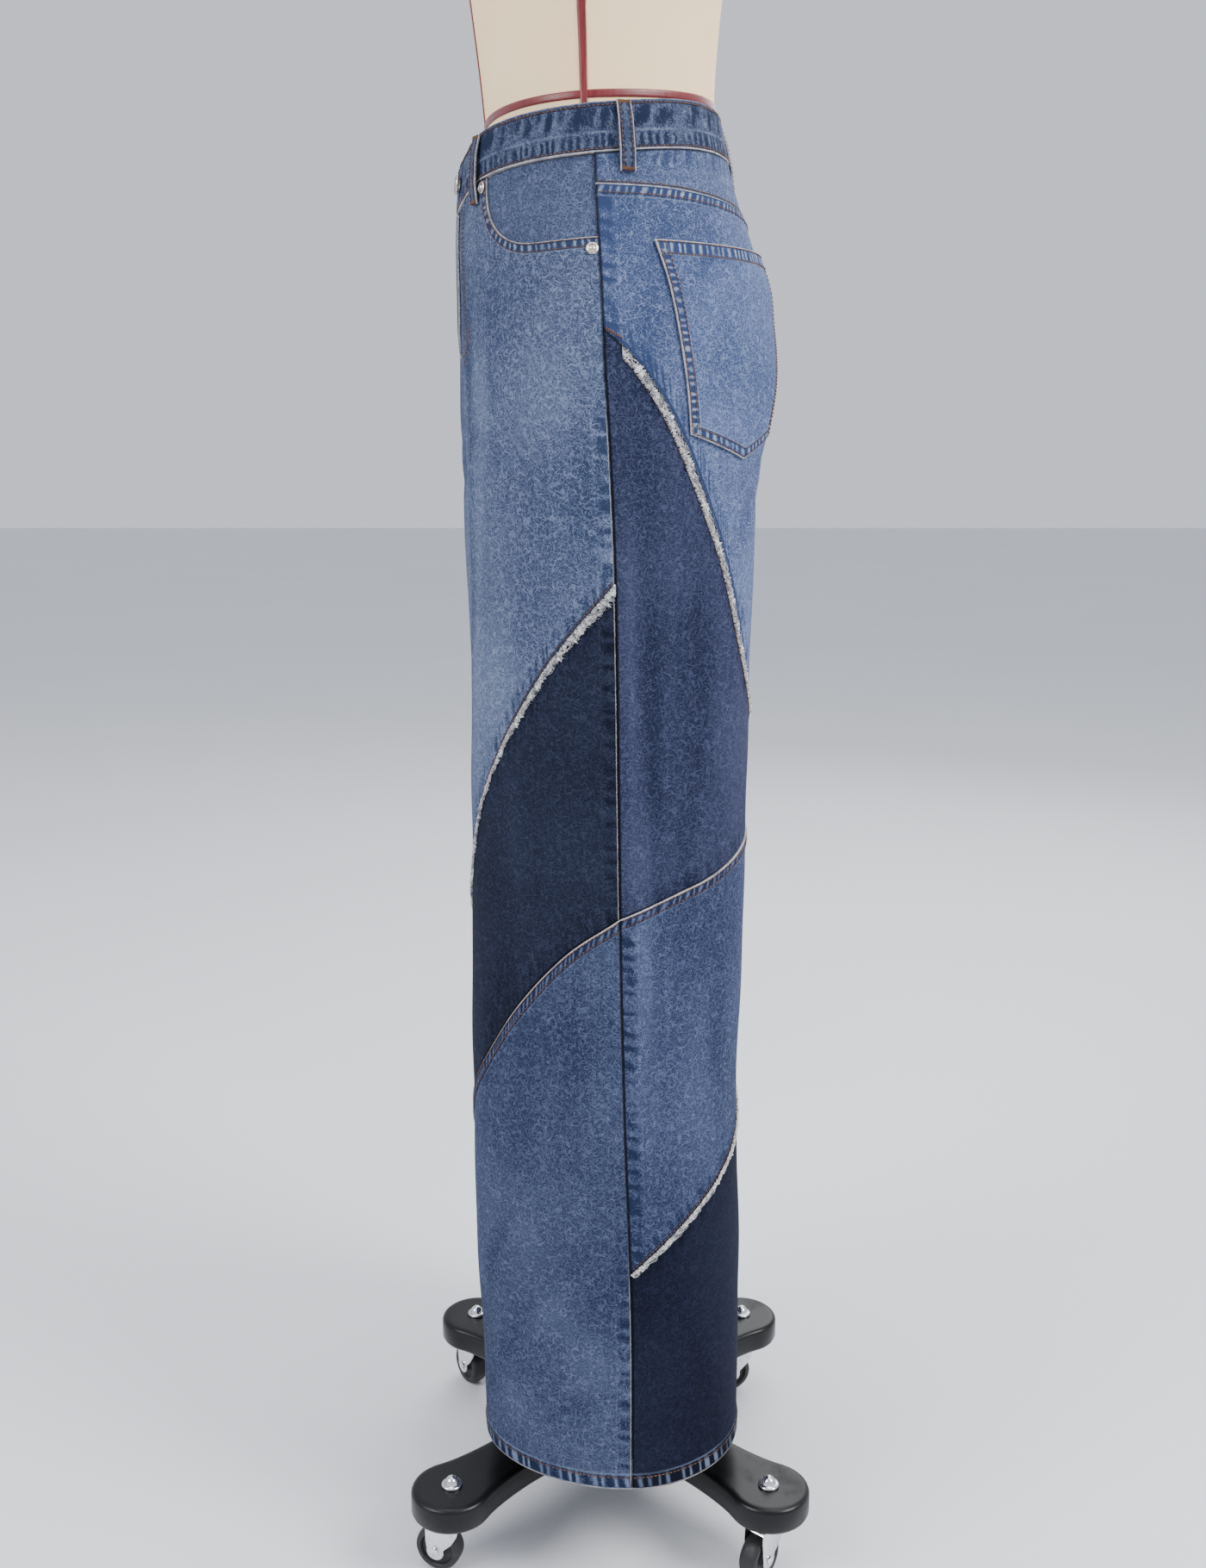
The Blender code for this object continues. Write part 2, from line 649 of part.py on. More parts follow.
def make_fly(collection):
    """The folded edge of the upper front, lapped over the middle seam."""
    outer = []
    inner = []
    high = waist_height(0.0) - SEAM_GAP
    front = Vector((sin(BODY_TURN), -cos(BODY_TURN), 0.0))
    for height in even(FLY_LOW_Z, high, 4):
        edge = -middle_angle(height)
        outer_row = []
        inner_row = []
        for x in (-FLY_LAP, FLY_LAP, FLY_WIDTH - FLY_LAP):
            if x < 0:
                base = cloth_point(edge, height) + Vector((x, x * sin(BODY_TURN), 0.0))
            else:
                base = cloth_point(edge + x / arc_per_degree(edge, height), height)
            outer_row.append(base + front * (OVERLAY_LIFT + CLOTH))
            inner_row.append(base + front * OVERLAY_LIFT)
        outer.append(outer_row)
        inner.append(inner_row)
    place("fly", closed_wall("fly", outer, inner), "light_denim", collection)


def turned_mesh(name, profile, steps=24):
    """A turned piece from (radius, height) points that run down its outer side."""
    mesh = bpy.data.meshes.new(name)
    mesh.from_pydata([(r, 0.0, z) for r, z in profile], [(i, i + 1) for i in range(len(profile) - 1)], [])
    guide = bpy.data.objects.new(name + "_profile", mesh)
    bpy.context.scene.collection.objects.link(guide)
    screw = guide.modifiers.new("Screw", "SCREW")
    screw.steps = steps
    screw.render_steps = steps
    screw.use_merge_vertices = True
    screw.merge_threshold = 0.00005
    graph = bpy.context.evaluated_depsgraph_get()
    result = bpy.data.meshes.new_from_object(guide.evaluated_get(graph))
    bpy.data.objects.remove(guide, do_unlink=True)
    return result


def stand_on(angle, height, out, side):
    """The matrix that seats a trim's Z axis along the cloth's normal."""
    seat = cloth_point(angle, height, out, side)
    axis = (cloth_point(angle, height, out + 0.01, side) - seat).normalized()
    return Matrix.Translation(seat) @ axis.to_track_quat("Z", "Y").to_matrix().to_4x4()


def make_metal_trims(collection):
    r = BUTTON_RADIUS
    button = turned_mesh("button", (
        (0.0, 0.0036), (r * 0.55, 0.0034), (r * 0.82, 0.0030), (r, 0.0024), (r, 0.0012), (r * 0.5, 0.0006),
        (r * 0.5, 0.0), (0.0, 0.0),
    ), 20)
    piece = place("button", button, "metal_trim", collection)
    piece.matrix_world = stand_on(BUTTON_ANGLE, BUTTON_Z, BAND_LIFT + BAND_END_RISE * 0.6 + 0.0004, 1)
    r = RIVET_RADIUS
    rivet = turned_mesh("rivet", (
        (0.0, 0.0019), (r * 0.30, 0.0018), (r * 0.42, 0.0012), (r * 0.75, 0.0012), (r, 0.0006), (r, 0.0),
        (0.0, 0.0),
    ), 16)
    for side, word in ((1, "left"), (-1, "right")):
        for place_word, angle, height in (("side", 87.0, 1.0535), ("front", 32.6, 1.1040)):
            name = f"{word}_{place_word}_rivet"
            piece = place(name, rivet.copy(), "metal_trim", collection)
            piece.matrix_world = stand_on(angle, height, OVERLAY_LIFT, side)


def make_torso(collection):
    """The limbless form: rounded sections from below the hips to the neck."""
    width_at, front, widest, back = (column(TORSO, k) for k in (1, 2, 3, 4))
    heights = []
    for a, b in zip(TORSO, TORSO[1:]):
        heights += even(a[0], b[0], max(1, round((b[0] - a[0]) / 0.045)))[:-1]
    heights.append(TORSO[-1][0])
    points = []
    for z in heights:
        for i in range(TORSO_SEGMENTS):
            a = 2 * pi * i / TORSO_SEGMENTS
            depth = widest(z) - front(z) if cos(a) > 0 else back(z) - widest(z)
            points.append(turned(Vector((width_at(z) * sin(a), widest(z) - depth * cos(a), z))))
    n = TORSO_SEGMENTS
    faces = []
    for j in range(len(heights) - 1):
        for i in range(n):
            k = (i + 1) % n
            faces.append((j * n + i, j * n + k, (j + 1) * n + k, (j + 1) * n + i))
    faces.append(tuple(range(n - 1, -1, -1)))
    faces.append(tuple((len(heights) - 1) * n + i for i in range(n)))
    mesh = bpy.data.meshes.new("form_torso")
    mesh.from_pydata(points, [], faces)
    mesh.update()
    place("form_torso", mesh, "form_canvas", collection)


def base_outline():
    """Four waisted arms with round ends, as one closed outline round the pole."""
    points = []
    reach = BOLT_OFFSET * sqrt(2)
    for arm in range(4):
        heading = radians(45.0 + 90.0 * arm)
        along = Vector((cos(heading), sin(heading)))
        across = Vector((-sin(heading), cos(heading)))
        near = [along * r - across * w for r, w in ARM_OUTLINE]
        far = [along * r + across * w for r, w in reversed(ARM_OUTLINE[1:])]
        end = []
        for turn in even(-ARM_END_TURN, ARM_END_TURN, 7):
            round_end = along * cos(turn) + across * sin(turn)
            end.append(along * reach + round_end * ARM_END_RADIUS)
        points += near + end + far
    return points


def add_spline(curve, points):
    spline = curve.splines.new("POLY")
    spline.points.add(len(points) - 1)
    for slot, point in zip(spline.points, points):
        slot.co = (point[0], point[1], 0.0, 1.0)
    spline.use_cyclic_u = True


def make_base(collection):
    curve = bpy.data.curves.new("base_outline", "CURVE")
    curve.dimensions = "2D"
    curve.fill_mode = "BOTH"
    curve.extrude = ARM_THICKNESS / 2 - EDGE_BEVEL
    curve.bevel_depth = EDGE_BEVEL
    curve.bevel_resolution = 0
    curve.offset = -EDGE_BEVEL
    add_spline(curve, base_outline())
    for name, x, y, heading in CASTERS:
        radius = STEM_RADIUS + STEM_CLEARANCE + EDGE_BEVEL
        hole = []
        for i in range(HOLE_SIDES):
            turn = 2 * pi * i / HOLE_SIDES
            hole.append((x * BOLT_OFFSET + radius * cos(turn), y * BOLT_OFFSET + radius * sin(turn)))
        add_spline(curve, hole)
    guide = bpy.data.objects.new("base_guide", curve)
    bpy.context.scene.collection.objects.link(guide)
    graph = bpy.context.evaluated_depsgraph_get()
    mesh = bpy.data.meshes.new_from_object(guide.evaluated_get(graph))
    bpy.data.objects.remove(guide, do_unlink=True)
    weld(mesh)
    base = place("base", mesh, "black_paint", collection)
    base.location = (BASE_X, 0.0, ARM_TOP_Z - ARM_THICKNESS / 2)


def weld(mesh):
    edit = bmesh.new()
    edit.from_mesh(mesh)
    bmesh.ops.remove_doubles(edit, verts=edit.verts, dist=0.00001)
    bmesh.ops.recalc_face_normals(edit, faces=edit.faces)
    edit.to_mesh(mesh)
    edit.free()


def make_pole(collection):
    """The pole with the collar that seats it on the base."""
    low = ARM_TOP_Z + SEAM_GAP
    high = TORSO[0][0] - SEAM_GAP
    shoulder = low + COLLAR_HEIGHT
    mesh = turned_mesh("pole", (
        (0.0, high), (POLE_RADIUS, high), (POLE_RADIUS, shoulder), (COLLAR_RADIUS, shoulder - 0.003),
        (COLLAR_RADIUS, low), (0.0, low),
    ))
    pole = place("pole", mesh, "black_paint", collection)
    pole.location = (BASE_X, 0.0, 0.0)


def box(low, high):
    """A bmesh cube stretched between two corners."""
    edit = bmesh.new()
    bmesh.ops.create_cube(edit, size=1.0)
    size = Vector(high) - Vector(low)
    centre = (Vector(high) + Vector(low)) / 2
    bmesh.ops.scale(edit, vec=size, verts=edit.verts)
    bmesh.ops.translate(edit, vec=centre, verts=edit.verts)
    return edit


def as_object(edit, name):
    mesh = bpy.data.meshes.new(name)
    edit.to_mesh(mesh)
    edit.free()
    thing = bpy.data.objects.new(name, mesh)
    bpy.context.scene.collection.objects.link(thing)
    return thing


def rod(radius, low, high, axis, centre, sides=16):
    """A cylinder along X or Z between two positions on that axis."""
    edit = bmesh.new()
    length = high - low
    bmesh.ops.create_cone(edit, cap_ends=True, segments=sides, radius1=radius, radius2=radius, depth=length)
    turn = Matrix.Rotation(pi / 2, 4, "Y") if axis == "X" else Matrix.Identity(4)
    shift = Vector(centre)
    shift["XYZ".index(axis)] = (low + high) / 2
    bmesh.ops.transform(edit, matrix=Matrix.Translation(shift) @ turn, verts=edit.verts)
    return edit


def join_solids(name, solids):
    """One closed body from overlapping solids."""
    first = solids[0]
    for other in solids[1:]:
        union = first.modifiers.new("Join", "BOOLEAN")
        union.operation = "UNION"
        union.object = other
    graph = bpy.context.evaluated_depsgraph_get()
    mesh = bpy.data.meshes.new_from_object(first.evaluated_get(graph))
    mesh.name = name
    for thing in solids:
        bpy.data.objects.remove(thing, do_unlink=True)
    return mesh


def fork_mesh():
    """A caster's swivel race, cheeks, stem and axle, with the stem on its own Z axis."""
    inner = WHEEL_WIDTH / 2 + CHEEK_GAP
    outer = inner + CHEEK
    axle_y = -CASTER_TRAIL
    axle = (0.0, axle_y, WHEEL_RADIUS)
    race_low = FORK_TOP_Z - BRIDGE / 2
    race_high = ARM_TOP_Z - ARM_THICKNESS - SEAM_GAP
    bridge_low = (-outer, axle_y - CHEEK_END_RADIUS - CHEEK, FORK_TOP_Z - BRIDGE * 1.25)
    bridge_high = (outer, BRIDGE_FRONT_Y, race_low + BRIDGE / 5)
    solids = [
        as_object(rod(RACE_RADIUS, race_low, race_high, "Z", (0, 0, 0), 18), "race"),
        as_object(box(bridge_low, bridge_high), "bridge"),
    ]
    for side in (-1, 1):
        near, far = sorted((side * inner, side * outer))
        low = (near, axle_y - CHEEK_END_RADIUS * 0.92, WHEEL_RADIUS)
        high = (far, BRIDGE_FRONT_Y - CHEEK, FORK_TOP_Z - BRIDGE)
        solids.append(as_object(box(low, high), "cheek"))
        end = rod(CHEEK_END_RADIUS, near - JOIN_LAP, far + JOIN_LAP, "X", axle, 14)
        solids.append(as_object(end, "cheek_end"))
    reach = outer + AXLE_HEAD
    solids.append(as_object(rod(AXLE_RADIUS, -reach, reach, "X", axle, 10), "axle"))
    solids.append(as_object(rod(STEM_RADIUS, FORK_TOP_Z, ARM_TOP_Z - STEM_SINK, "Z", (0, 0, 0), 10), "stem"))
    return join_solids("fork", solids)


def wheel_mesh():
    """A tyre with a recessed hub and a bore, turned on X, one flat facing down."""
    half = WHEEL_WIDTH / 2
    corner = WHEEL_RADIUS / cos(pi / WHEEL_SIDES)
    hub = half * HUB_FACE
    dish = half * HUB_DISH
    profile = (
        (WHEEL_BORE, hub), (HUB_RADIUS, hub), (TYRE_INNER_RADIUS - 0.002, dish), (TYRE_INNER_RADIUS, half),
        (corner, half - TYRE_EDGE), (corner, TYRE_EDGE - half),
        (TYRE_INNER_RADIUS, -half), (TYRE_INNER_RADIUS - 0.002, -dish), (HUB_RADIUS, -hub),
        (WHEEL_BORE, -hub), (WHEEL_BORE, hub),
    )
    mesh = turned_mesh("wheel", profile, WHEEL_SIDES)
    weld(mesh)
    mesh.transform(Matrix.Rotation(pi / WHEEL_SIDES, 4, "Z"))
    mesh.transform(Matrix.Rotation(pi / 2, 4, "Y"))
    return mesh


def make_casters(collection):
    fork = fork_mesh()
    wheel = wheel_mesh()
    r = NUT_RADIUS
    h = NUT_HEIGHT
    nut = turned_mesh("nut", (
        (0.0, h), (r * 0.50, h * 0.90), (r * 0.80, h * 0.60), (r * 0.90, h * 0.30), (r * 1.25, h * 0.22),
        (r * 1.25, 0.0), (0.0, 0.0),
    ), 12)
    for name, x, y, heading in CASTERS:
        centre = Vector((BASE_X + x * BOLT_OFFSET, y * BOLT_OFFSET, 0.0))
        swivel = bpy.data.objects.new(f"{name}_swivel", None)
        swivel.location = centre
        swivel.rotation_euler.z = radians(heading + 90.0)
        collection.objects.link(swivel)
        fork_piece = place(f"{name}_fork", fork.copy(), "chrome", collection)
        fork_piece.parent = swivel
        wheel_piece = place(f"{name}_wheel", wheel.copy(), "wheel_rubber", collection)
        wheel_piece.parent = swivel
        wheel_piece.location = (0.0, -CASTER_TRAIL, WHEEL_RADIUS)
        nut_piece = place(f"{name}_nut", nut.copy(), "chrome", collection)
        nut_piece.location = centre + Vector((0.0, 0.0, ARM_TOP_Z + SEAM_GAP))


def build():
    clear_scene()
    collection = bpy.data.collections.new(PART_NAME)
    bpy.context.scene.collection.children.link(collection)
    for side, word in ((1, "left"), (-1, "right")):
        make_front_panels(side, word, collection)
        make_back_panels(side, word, collection)
        make_pocket_facing(side, word, collection)
        make_back_pocket(side, word, collection)
        for kind, line, start, end in FRAYS:
            make_fray(f"{word}_{kind}_fray", line, start, end, side, collection)
    make_waistband(collection)
    make_loops(collection)
    make_fly(collection)
    make_metal_trims(collection)
    make_torso(collection)
    make_base(collection)
    make_pole(collection)
    make_casters(collection)
    bpy.context.view_layer.update()


build()
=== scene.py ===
# %% [markdown]
# # Wide-leg patchwork jeans on a dress form
#
# The jeans are sewn from light and dark denim panels that meet in long curved
# seams. Some seams are felled flat and top-stitched. Others leave a raw edge
# that has frayed. A limbless dress form on a four-caster stand carries them.
# Every sewn piece is its own mesh here, as it is its own cloth on the real pair.

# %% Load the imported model
from math import cos, degrees, pi, radians, sin, sqrt

import bmesh
import bpy
import numpy as np
from mathutils import Matrix, Vector


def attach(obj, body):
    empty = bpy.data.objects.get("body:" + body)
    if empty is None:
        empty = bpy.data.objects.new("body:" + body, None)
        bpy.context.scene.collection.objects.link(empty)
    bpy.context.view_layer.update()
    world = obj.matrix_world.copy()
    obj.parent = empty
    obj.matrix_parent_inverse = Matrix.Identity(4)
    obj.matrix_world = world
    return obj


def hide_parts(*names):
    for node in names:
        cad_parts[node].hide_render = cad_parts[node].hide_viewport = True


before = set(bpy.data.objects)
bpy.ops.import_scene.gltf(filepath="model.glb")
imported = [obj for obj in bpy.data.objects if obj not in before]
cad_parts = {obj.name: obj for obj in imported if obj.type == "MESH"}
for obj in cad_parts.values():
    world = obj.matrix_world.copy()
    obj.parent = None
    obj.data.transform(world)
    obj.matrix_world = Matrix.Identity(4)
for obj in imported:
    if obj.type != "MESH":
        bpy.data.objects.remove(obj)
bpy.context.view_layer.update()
BODY = "dressed_stand"

# %% [markdown]
# ## Camera, floor and light
#
# The camera stands on the wearer's left at about waist height, and looks down a
# little. Its place comes from the stand's four bolts, the hem and the waist.
# A plain pale floor runs out under a pale sky. Two wide soft lamps stand either
# side of the camera, one hangs above and one lights the far side, as in a small
# studio.

# %% Camera
CAMERA_AT = (1.3112, -0.006, 0.9217)
CAMERA_TILT = 0.2143        # radians below the level
CAMERA_LENS = 36.17         # millimetres, as the sensor
CAMERA_SENSOR = 36.0
CAMERA_REACH = 60.0

camera_data = bpy.data.cameras.new("camera")
camera_data.sensor_fit = "VERTICAL"
camera_data.sensor_height = camera_data.sensor_width = CAMERA_SENSOR
camera_data.lens = CAMERA_LENS
camera_data.clip_end = CAMERA_REACH
camera = bpy.data.objects.new("camera", camera_data)
camera.location = CAMERA_AT
look = Vector((-cos(CAMERA_TILT), 0.0, -sin(CAMERA_TILT)))
camera.rotation_euler = look.to_track_quat("-Z", "Y").to_euler()
bpy.context.scene.collection.objects.link(camera)
bpy.context.scene.camera = camera

# %% Lamps and sky
LAMPS = (
    # name, place, aimed at, size, watts
    ("key_lamp", (1.1, 2.1, 2.5), (0.0, 0.0, 1.05), 1.5, 110.0),
    ("fill_lamp", (1.3, -2.0, 2.3), (0.0, 0.0, 0.95), 1.6, 66.0),
    ("top_lamp", (-0.3, 0.2, 3.4), (0.0, 0.0, 0.6), 2.4, 50.0),
    ("back_lamp", (-2.4, 0.9, 2.0), (0.0, 0.0, 0.8), 2.0, 34.0),
)
SKY_COLOUR = (0.84, 0.88, 0.96, 1.0)
SKY_STRENGTH = 0.92

for name, place, target, size, watts in LAMPS:
    lamp_data = bpy.data.lights.new(name, "AREA")
    lamp_data.shape = "DISK"
    lamp_data.size = size
    lamp_data.energy = watts
    lamp = bpy.data.objects.new(name, lamp_data)
    lamp.location = place
    lamp.rotation_euler = (Vector(target) - Vector(place)).to_track_quat("-Z", "Y").to_euler()
    bpy.context.scene.collection.objects.link(lamp)

sky = bpy.data.worlds.new("sky")
sky.use_nodes = True
sky.node_tree.nodes["Background"].inputs["Color"].default_value = SKY_COLOUR
sky.node_tree.nodes["Background"].inputs["Strength"].default_value = SKY_STRENGTH
bpy.context.scene.world = sky
print(len(LAMPS), "lamps")

# %% [markdown]
# ## The shape of the cloth
#
# One surface carries every sewn piece. A point on a leg has an angle, 0 at the
# front, 90 at the side seam and 180 at the back, and a height. Tables give the
# section at each height, and the two legs part below the crotch. All pieces
# ask the same function for their points, so neighbours always meet.

# %% Sizes and tables of the garment
LEGS = ((1, "left"), (-1, "right"))     # the side of X, and its word in the names
CLOTH = 0.0016              # thickness of one layer
BAND_CLOTH = HEM_CLOTH = 0.0030
SEAM_GAP = 0.0003
HALF_GAP = SEAM_GAP / 2
OVERLAY_LIFT = 0.0006
HEM_Z, HEM_HEIGHT = 0.100, 0.012
CROTCH_Z, SPLIT_HEIGHT = 0.900, 0.120
CUFF_CLEARANCE = 0.010      # from the hem to the plane between the legs
BODY_TURN = radians(7.0)    # the form stands a little turned over its base
TURN_FROM_Z, TURN_TO_Z = 0.35, 1.00
SECTIONS = (
    # height, side,   front,   seam,    back
    (0.100, 0.1965, -0.1055, 0.0175, 0.1080),
    (0.250, 0.1940, -0.1105, 0.0165, 0.1070),
    (0.420, 0.1910, -0.1120, 0.0095, 0.1040),
    (0.580, 0.1880, -0.1140, 0.0000, 0.1030),
    (0.720, 0.1860, -0.1155, -0.0090, 0.1005),
    (0.820, 0.1840, -0.1170, -0.0155, 0.1015),
    (0.900, 0.1800, -0.1190, -0.0210, 0.1035),
    (0.975, 0.1690, -0.1200, -0.0255, 0.1225),
    (1.030, 0.1560, -0.1200, -0.0265, 0.1250),
    (1.075, 0.1420, -0.1200, -0.0275, 0.1085),
    (1.110, 0.1320, -0.1180, -0.0280, 0.0965),
    (1.165, 0.1235, -0.1140, -0.0285, 0.0830),
)
FOLDS = (
    # angle, width, low,  high, depth
    (110.0, 11.0, 0.56, 0.95, 0.0040),
    (22.0, 9.0, 0.74, 1.00, 0.0022),
    (60.0, 16.0, 0.14, 0.32, 0.0025),
    (205.0, 13.0, 0.45, 0.80, 0.0035),
    (-48.0, 13.0, 0.40, 0.78, 0.0030),
)
WAIST_LINE = (
    (0.0, 1.093), (12.0, 1.100), (30.0, 1.110), (90.0, 1.1205), (135.0, 1.130), (180.0, 1.130),
)
YOKE_LINE = ((90.0, 1.0995), (120.0, 1.0990), (150.0, 1.0945), (180.0, 1.0860))
FRONT_FRAY_LINE = (
    (-90.0, 0.400), (-45.0, 0.470), (0.0, 0.577), (25.0, 0.657), (45.0, 0.716), (65.0, 0.770),
    (90.0, 0.822),
)
FRONT_FELL_LINE = (
    (-90.0, 0.210), (-45.0, 0.292), (0.0, 0.388), (25.0, 0.444), (48.0, 0.499), (70.0, 0.546),
    (90.0, 0.574),
)
BACK_FELL_LINE = (
    (90.0, 0.574), (107.0, 0.586), (136.0, 0.601), (173.0, 0.620), (220.0, 0.641), (270.0, 0.655),
)
BACK_FRAY_LINE = (
    (90.0, 0.999), (100.0, 0.974), (114.0, 0.925), (130.0, 0.862), (150.0, 0.778), (172.0, 0.724),
    (210.0, 0.690), (270.0, 0.672),
)
CALF_FRAY_LINE = (
    (90.0, 0.286), (120.0, 0.327), (140.0, 0.350), (175.0, 0.385), (220.0, 0.435), (270.0, 0.500),
)


# %% A smooth line through a table
def smooth_line(knots):
    place = np.array([k[0] for k in knots])
    height = np.array([k[1] for k in knots])
    slope = np.empty(len(knots))
    slope[1:-1] = (height[2:] - height[:-2]) / (place[2:] - place[:-2])
    slope[0] = (height[1] - height[0]) / (place[1] - place[0])
    slope[-1] = (height[-1] - height[-2]) / (place[-1] - place[-2])

    def value(at):
        at = np.clip(at, place[0], place[-1])
        i = np.clip(np.searchsorted(place, at, side="left") - 1, 0, len(place) - 2)
        span = place[i + 1] - place[i]
        t = (at - place[i]) / span
        rise = height[i] * (1 + 2 * t) * (1 - t) ** 2 + height[i + 1] * t * t * (3 - 2 * t)
        return rise + span * t * (1 - t) * (slope[i] * (1 - t) - slope[i + 1] * t)

    return value


def column(table, index):
    return smooth_line([(row[0], row[index]) for row in table])


side_at, front_at, seam_at, back_at = (column(SECTIONS, k) for k in (1, 2, 3, 4))
waist_height = smooth_line(WAIST_LINE)
yoke_height = smooth_line(YOKE_LINE)
print("waistband seam at the side:", round(float(waist_height(90.0)), 4), "m up")


# %% Sections of the legs
HALF_DEGREE = 0.5
SMALL_RISE = 0.002


def leg_split(z):
    above = np.clip((z - CROTCH_Z) / SPLIT_HEIGHT, 0.0, 1.0)
    return (1 - above * above) ** 2


def middle_angle(z):
    return np.degrees(np.arcsin(leg_split(z)))


def section(angle, z):
    split = leg_split(z)
    inseam = HALF_GAP + CUFF_CLEARANCE * np.maximum(CROTCH_Z - z, 0.0) / (CROTCH_Z - HEM_Z)
    half_width = (side_at(z) - inseam) / (1 + split)
    depth = np.where(angle <= 90.0, seam_at(z) - front_at(z), back_at(z) - seam_at(z))
    turn = np.radians(angle)
    x = inseam + half_width * (split + np.sin(turn))
    y = seam_at(z) - depth * np.cos(turn)
    return np.stack([x, y, z + 0.0 * turn], -1)


def normals(angle, z):
    round_step = section(angle + HALF_DEGREE, z) - section(angle - HALF_DEGREE, z)
    up_step = section(angle, z + SMALL_RISE) - section(angle, z - SMALL_RISE)
    across = np.cross(round_step, up_step)
    return across / np.linalg.norm(across, axis=-1, keepdims=True)


def turned(points):
    """Turn points about the pole, more with height, as the form stands over its base."""
    t = np.clip((points[..., 2] - TURN_FROM_Z) / (TURN_TO_Z - TURN_FROM_Z), 0.0, 1.0)
    turn = BODY_TURN * t * t * (3 - 2 * t)
    x = np.cos(turn) * points[..., 0] - np.sin(turn) * points[..., 1]
    y = np.sin(turn) * points[..., 0] + np.cos(turn) * points[..., 1]
    return np.stack([x, y, points[..., 2]], -1)


# %% [markdown]
# ## Folds and creases
#
# Denim is stiff. It hangs in a few long soft troughs and keeps short shallow
# creases where it was folded or sat in. The long troughs are in the solids too.
# The creases are short furrows in the flattened cloth, each with its own place, direction and depth, with a
# slow swell under them. The tone patches are laid out in the same way. They change no shape, only the colour:
# some are wear, where the blue is rubbed off, and some are painted highlight and painted shade along the
# folds.

# %% Folds and creases
LEG_RADIUS = 0.099          # turns an angle into metres round the leg
CREASES = (
    # angle, height, direction, half length, half width, depth
    (38.0, 0.205, 62.0, 0.060, 0.0085, 0.0017),
    (58.0, 0.245, 50.0, 0.050, 0.0100, -0.0014),
    (30.0, 0.275, 70.0, 0.055, 0.0080, 0.0014),
    (72.0, 0.170, 35.0, 0.045, 0.0090, 0.0013),
    (125.0, 0.205, 110.0, 0.055, 0.0100, 0.0013),
    (14.0, 0.980, 80.0, 0.070, 0.0070, 0.0012),
    (30.0, 0.960, 84.0, 0.080, 0.0090, -0.0008),
    (62.0, 1.030, 20.0, 0.030, 0.0070, 0.0006),
    (100.0, 0.960, 75.0, 0.045, 0.0080, 0.0008),
    (104.0, 1.075, 70.0, 0.018, 0.0060, -0.0007),
    (120.0, 0.700, 88.0, 0.130, 0.0130, 0.0026),
    (98.0, 0.660, 92.0, 0.140, 0.0100, -0.0016),
    (150.0, 0.860, 60.0, 0.050, 0.0110, 0.0010),
    (172.0, 0.880, 20.0, 0.045, 0.0090, 0.0012),
    (165.0, 0.905, 15.0, 0.045, 0.0080, 0.0010),
    (-8.0, 0.905, 150.0, 0.045, 0.0080, 0.0012),
    (5.0, 0.930, 160.0, 0.040, 0.0080, 0.0009),
    (35.0, 0.480, 75.0, 0.080, 0.0120, 0.0018),
    (140.0, 0.470, 95.0, 0.080, 0.0120, 0.0018),
    (48.0, 0.620, 96.0, 0.090, 0.0110, -0.0016),
)
# Patches of wear, and of painted highlight and painted shade along the folds; a positive tone is paler.
WEAR_AND_FOLD_SHADING_PATCHES = (
    # angle, height, direction, half length, half width, tone
    (66.0, 0.235, -52.0, 0.052, 0.017, 0.24),
    (75.0, 0.190, -60.0, 0.030, 0.015, 0.16),
    (38.0, 0.158, -42.0, 0.050, 0.014, 0.20),
    (52.0, 0.300, -70.0, 0.035, 0.012, 0.14),
    (20.0, 0.240, -65.0, 0.060, 0.010, 0.16),
    (108.0, 0.130, 35.0, 0.030, 0.012, 0.10),
    (100.0, 0.560, 88.0, 0.110, 0.007, 0.22),
    (30.0, 0.990, 86.0, 0.090, 0.007, 0.18),
    (128.0, 0.480, 80.0, 0.060, 0.014, 0.14),
    (103.5, 0.730, 91.0, 0.190, 0.0075, -0.26),
    (95.5, 0.760, 90.0, 0.150, 0.0028, 0.22),
    (112.0, 0.740, 90.0, 0.150, 0.0070, 0.12),
    (131.0, 0.700, 96.0, 0.120, 0.0090, -0.12),
    (79.0, 0.880, 92.0, 0.080, 0.0090, -0.16),
    (52.0, 0.760, 92.0, 0.120, 0.0120, -0.09),
    (72.0, 0.500, 88.0, 0.090, 0.0100, -0.12),
    (60.0, 0.410, 84.0, 0.070, 0.0090, 0.10),
    (104.0, 1.020, 78.0, 0.050, 0.0080, -0.16),
    (112.0, 0.400, 92.0, 0.090, 0.0100, -0.10),
    (9.0, 0.880, 89.0, 0.190, 0.0055, -0.26),
    (20.0, 0.900, 88.0, 0.200, 0.0070, 0.20),
    (33.0, 1.000, 93.0, 0.070, 0.0080, -0.14),
    (122.0, 1.048, 60.0, 0.022, 0.0060, -0.16),
    (128.0, 0.990, 80.0, 0.040, 0.0090, -0.10),
)
SWELLS = (
    # waves per metre round, waves per metre up, shift, height
    (5.1, 2.3, 0.4, 0.00060), (-3.7, 4.9, 2.1, 0.00050), (9.3, -3.1, 4.0, 0.00030),
    (2.2, 9.7, 1.2, 0.00028),
)
PUCKER_PITCH = 0.0143       # seam puckers along the side seam
PUCKER_DEPTH, PUCKER_REACH = 0.00042, 0.0085
RIGHT_SPOTS = (0.006, 0.012)    # the right leg's creases lie a little further round and lower
RIGHT_SWELL = 1.9
CALM_Z, CALM_HEIGHT = 1.105, 0.03   # the waistband holds the cloth flat above this
MIDDLE_FADE = 12.0          # degrees from the middle seam over which the folds die out


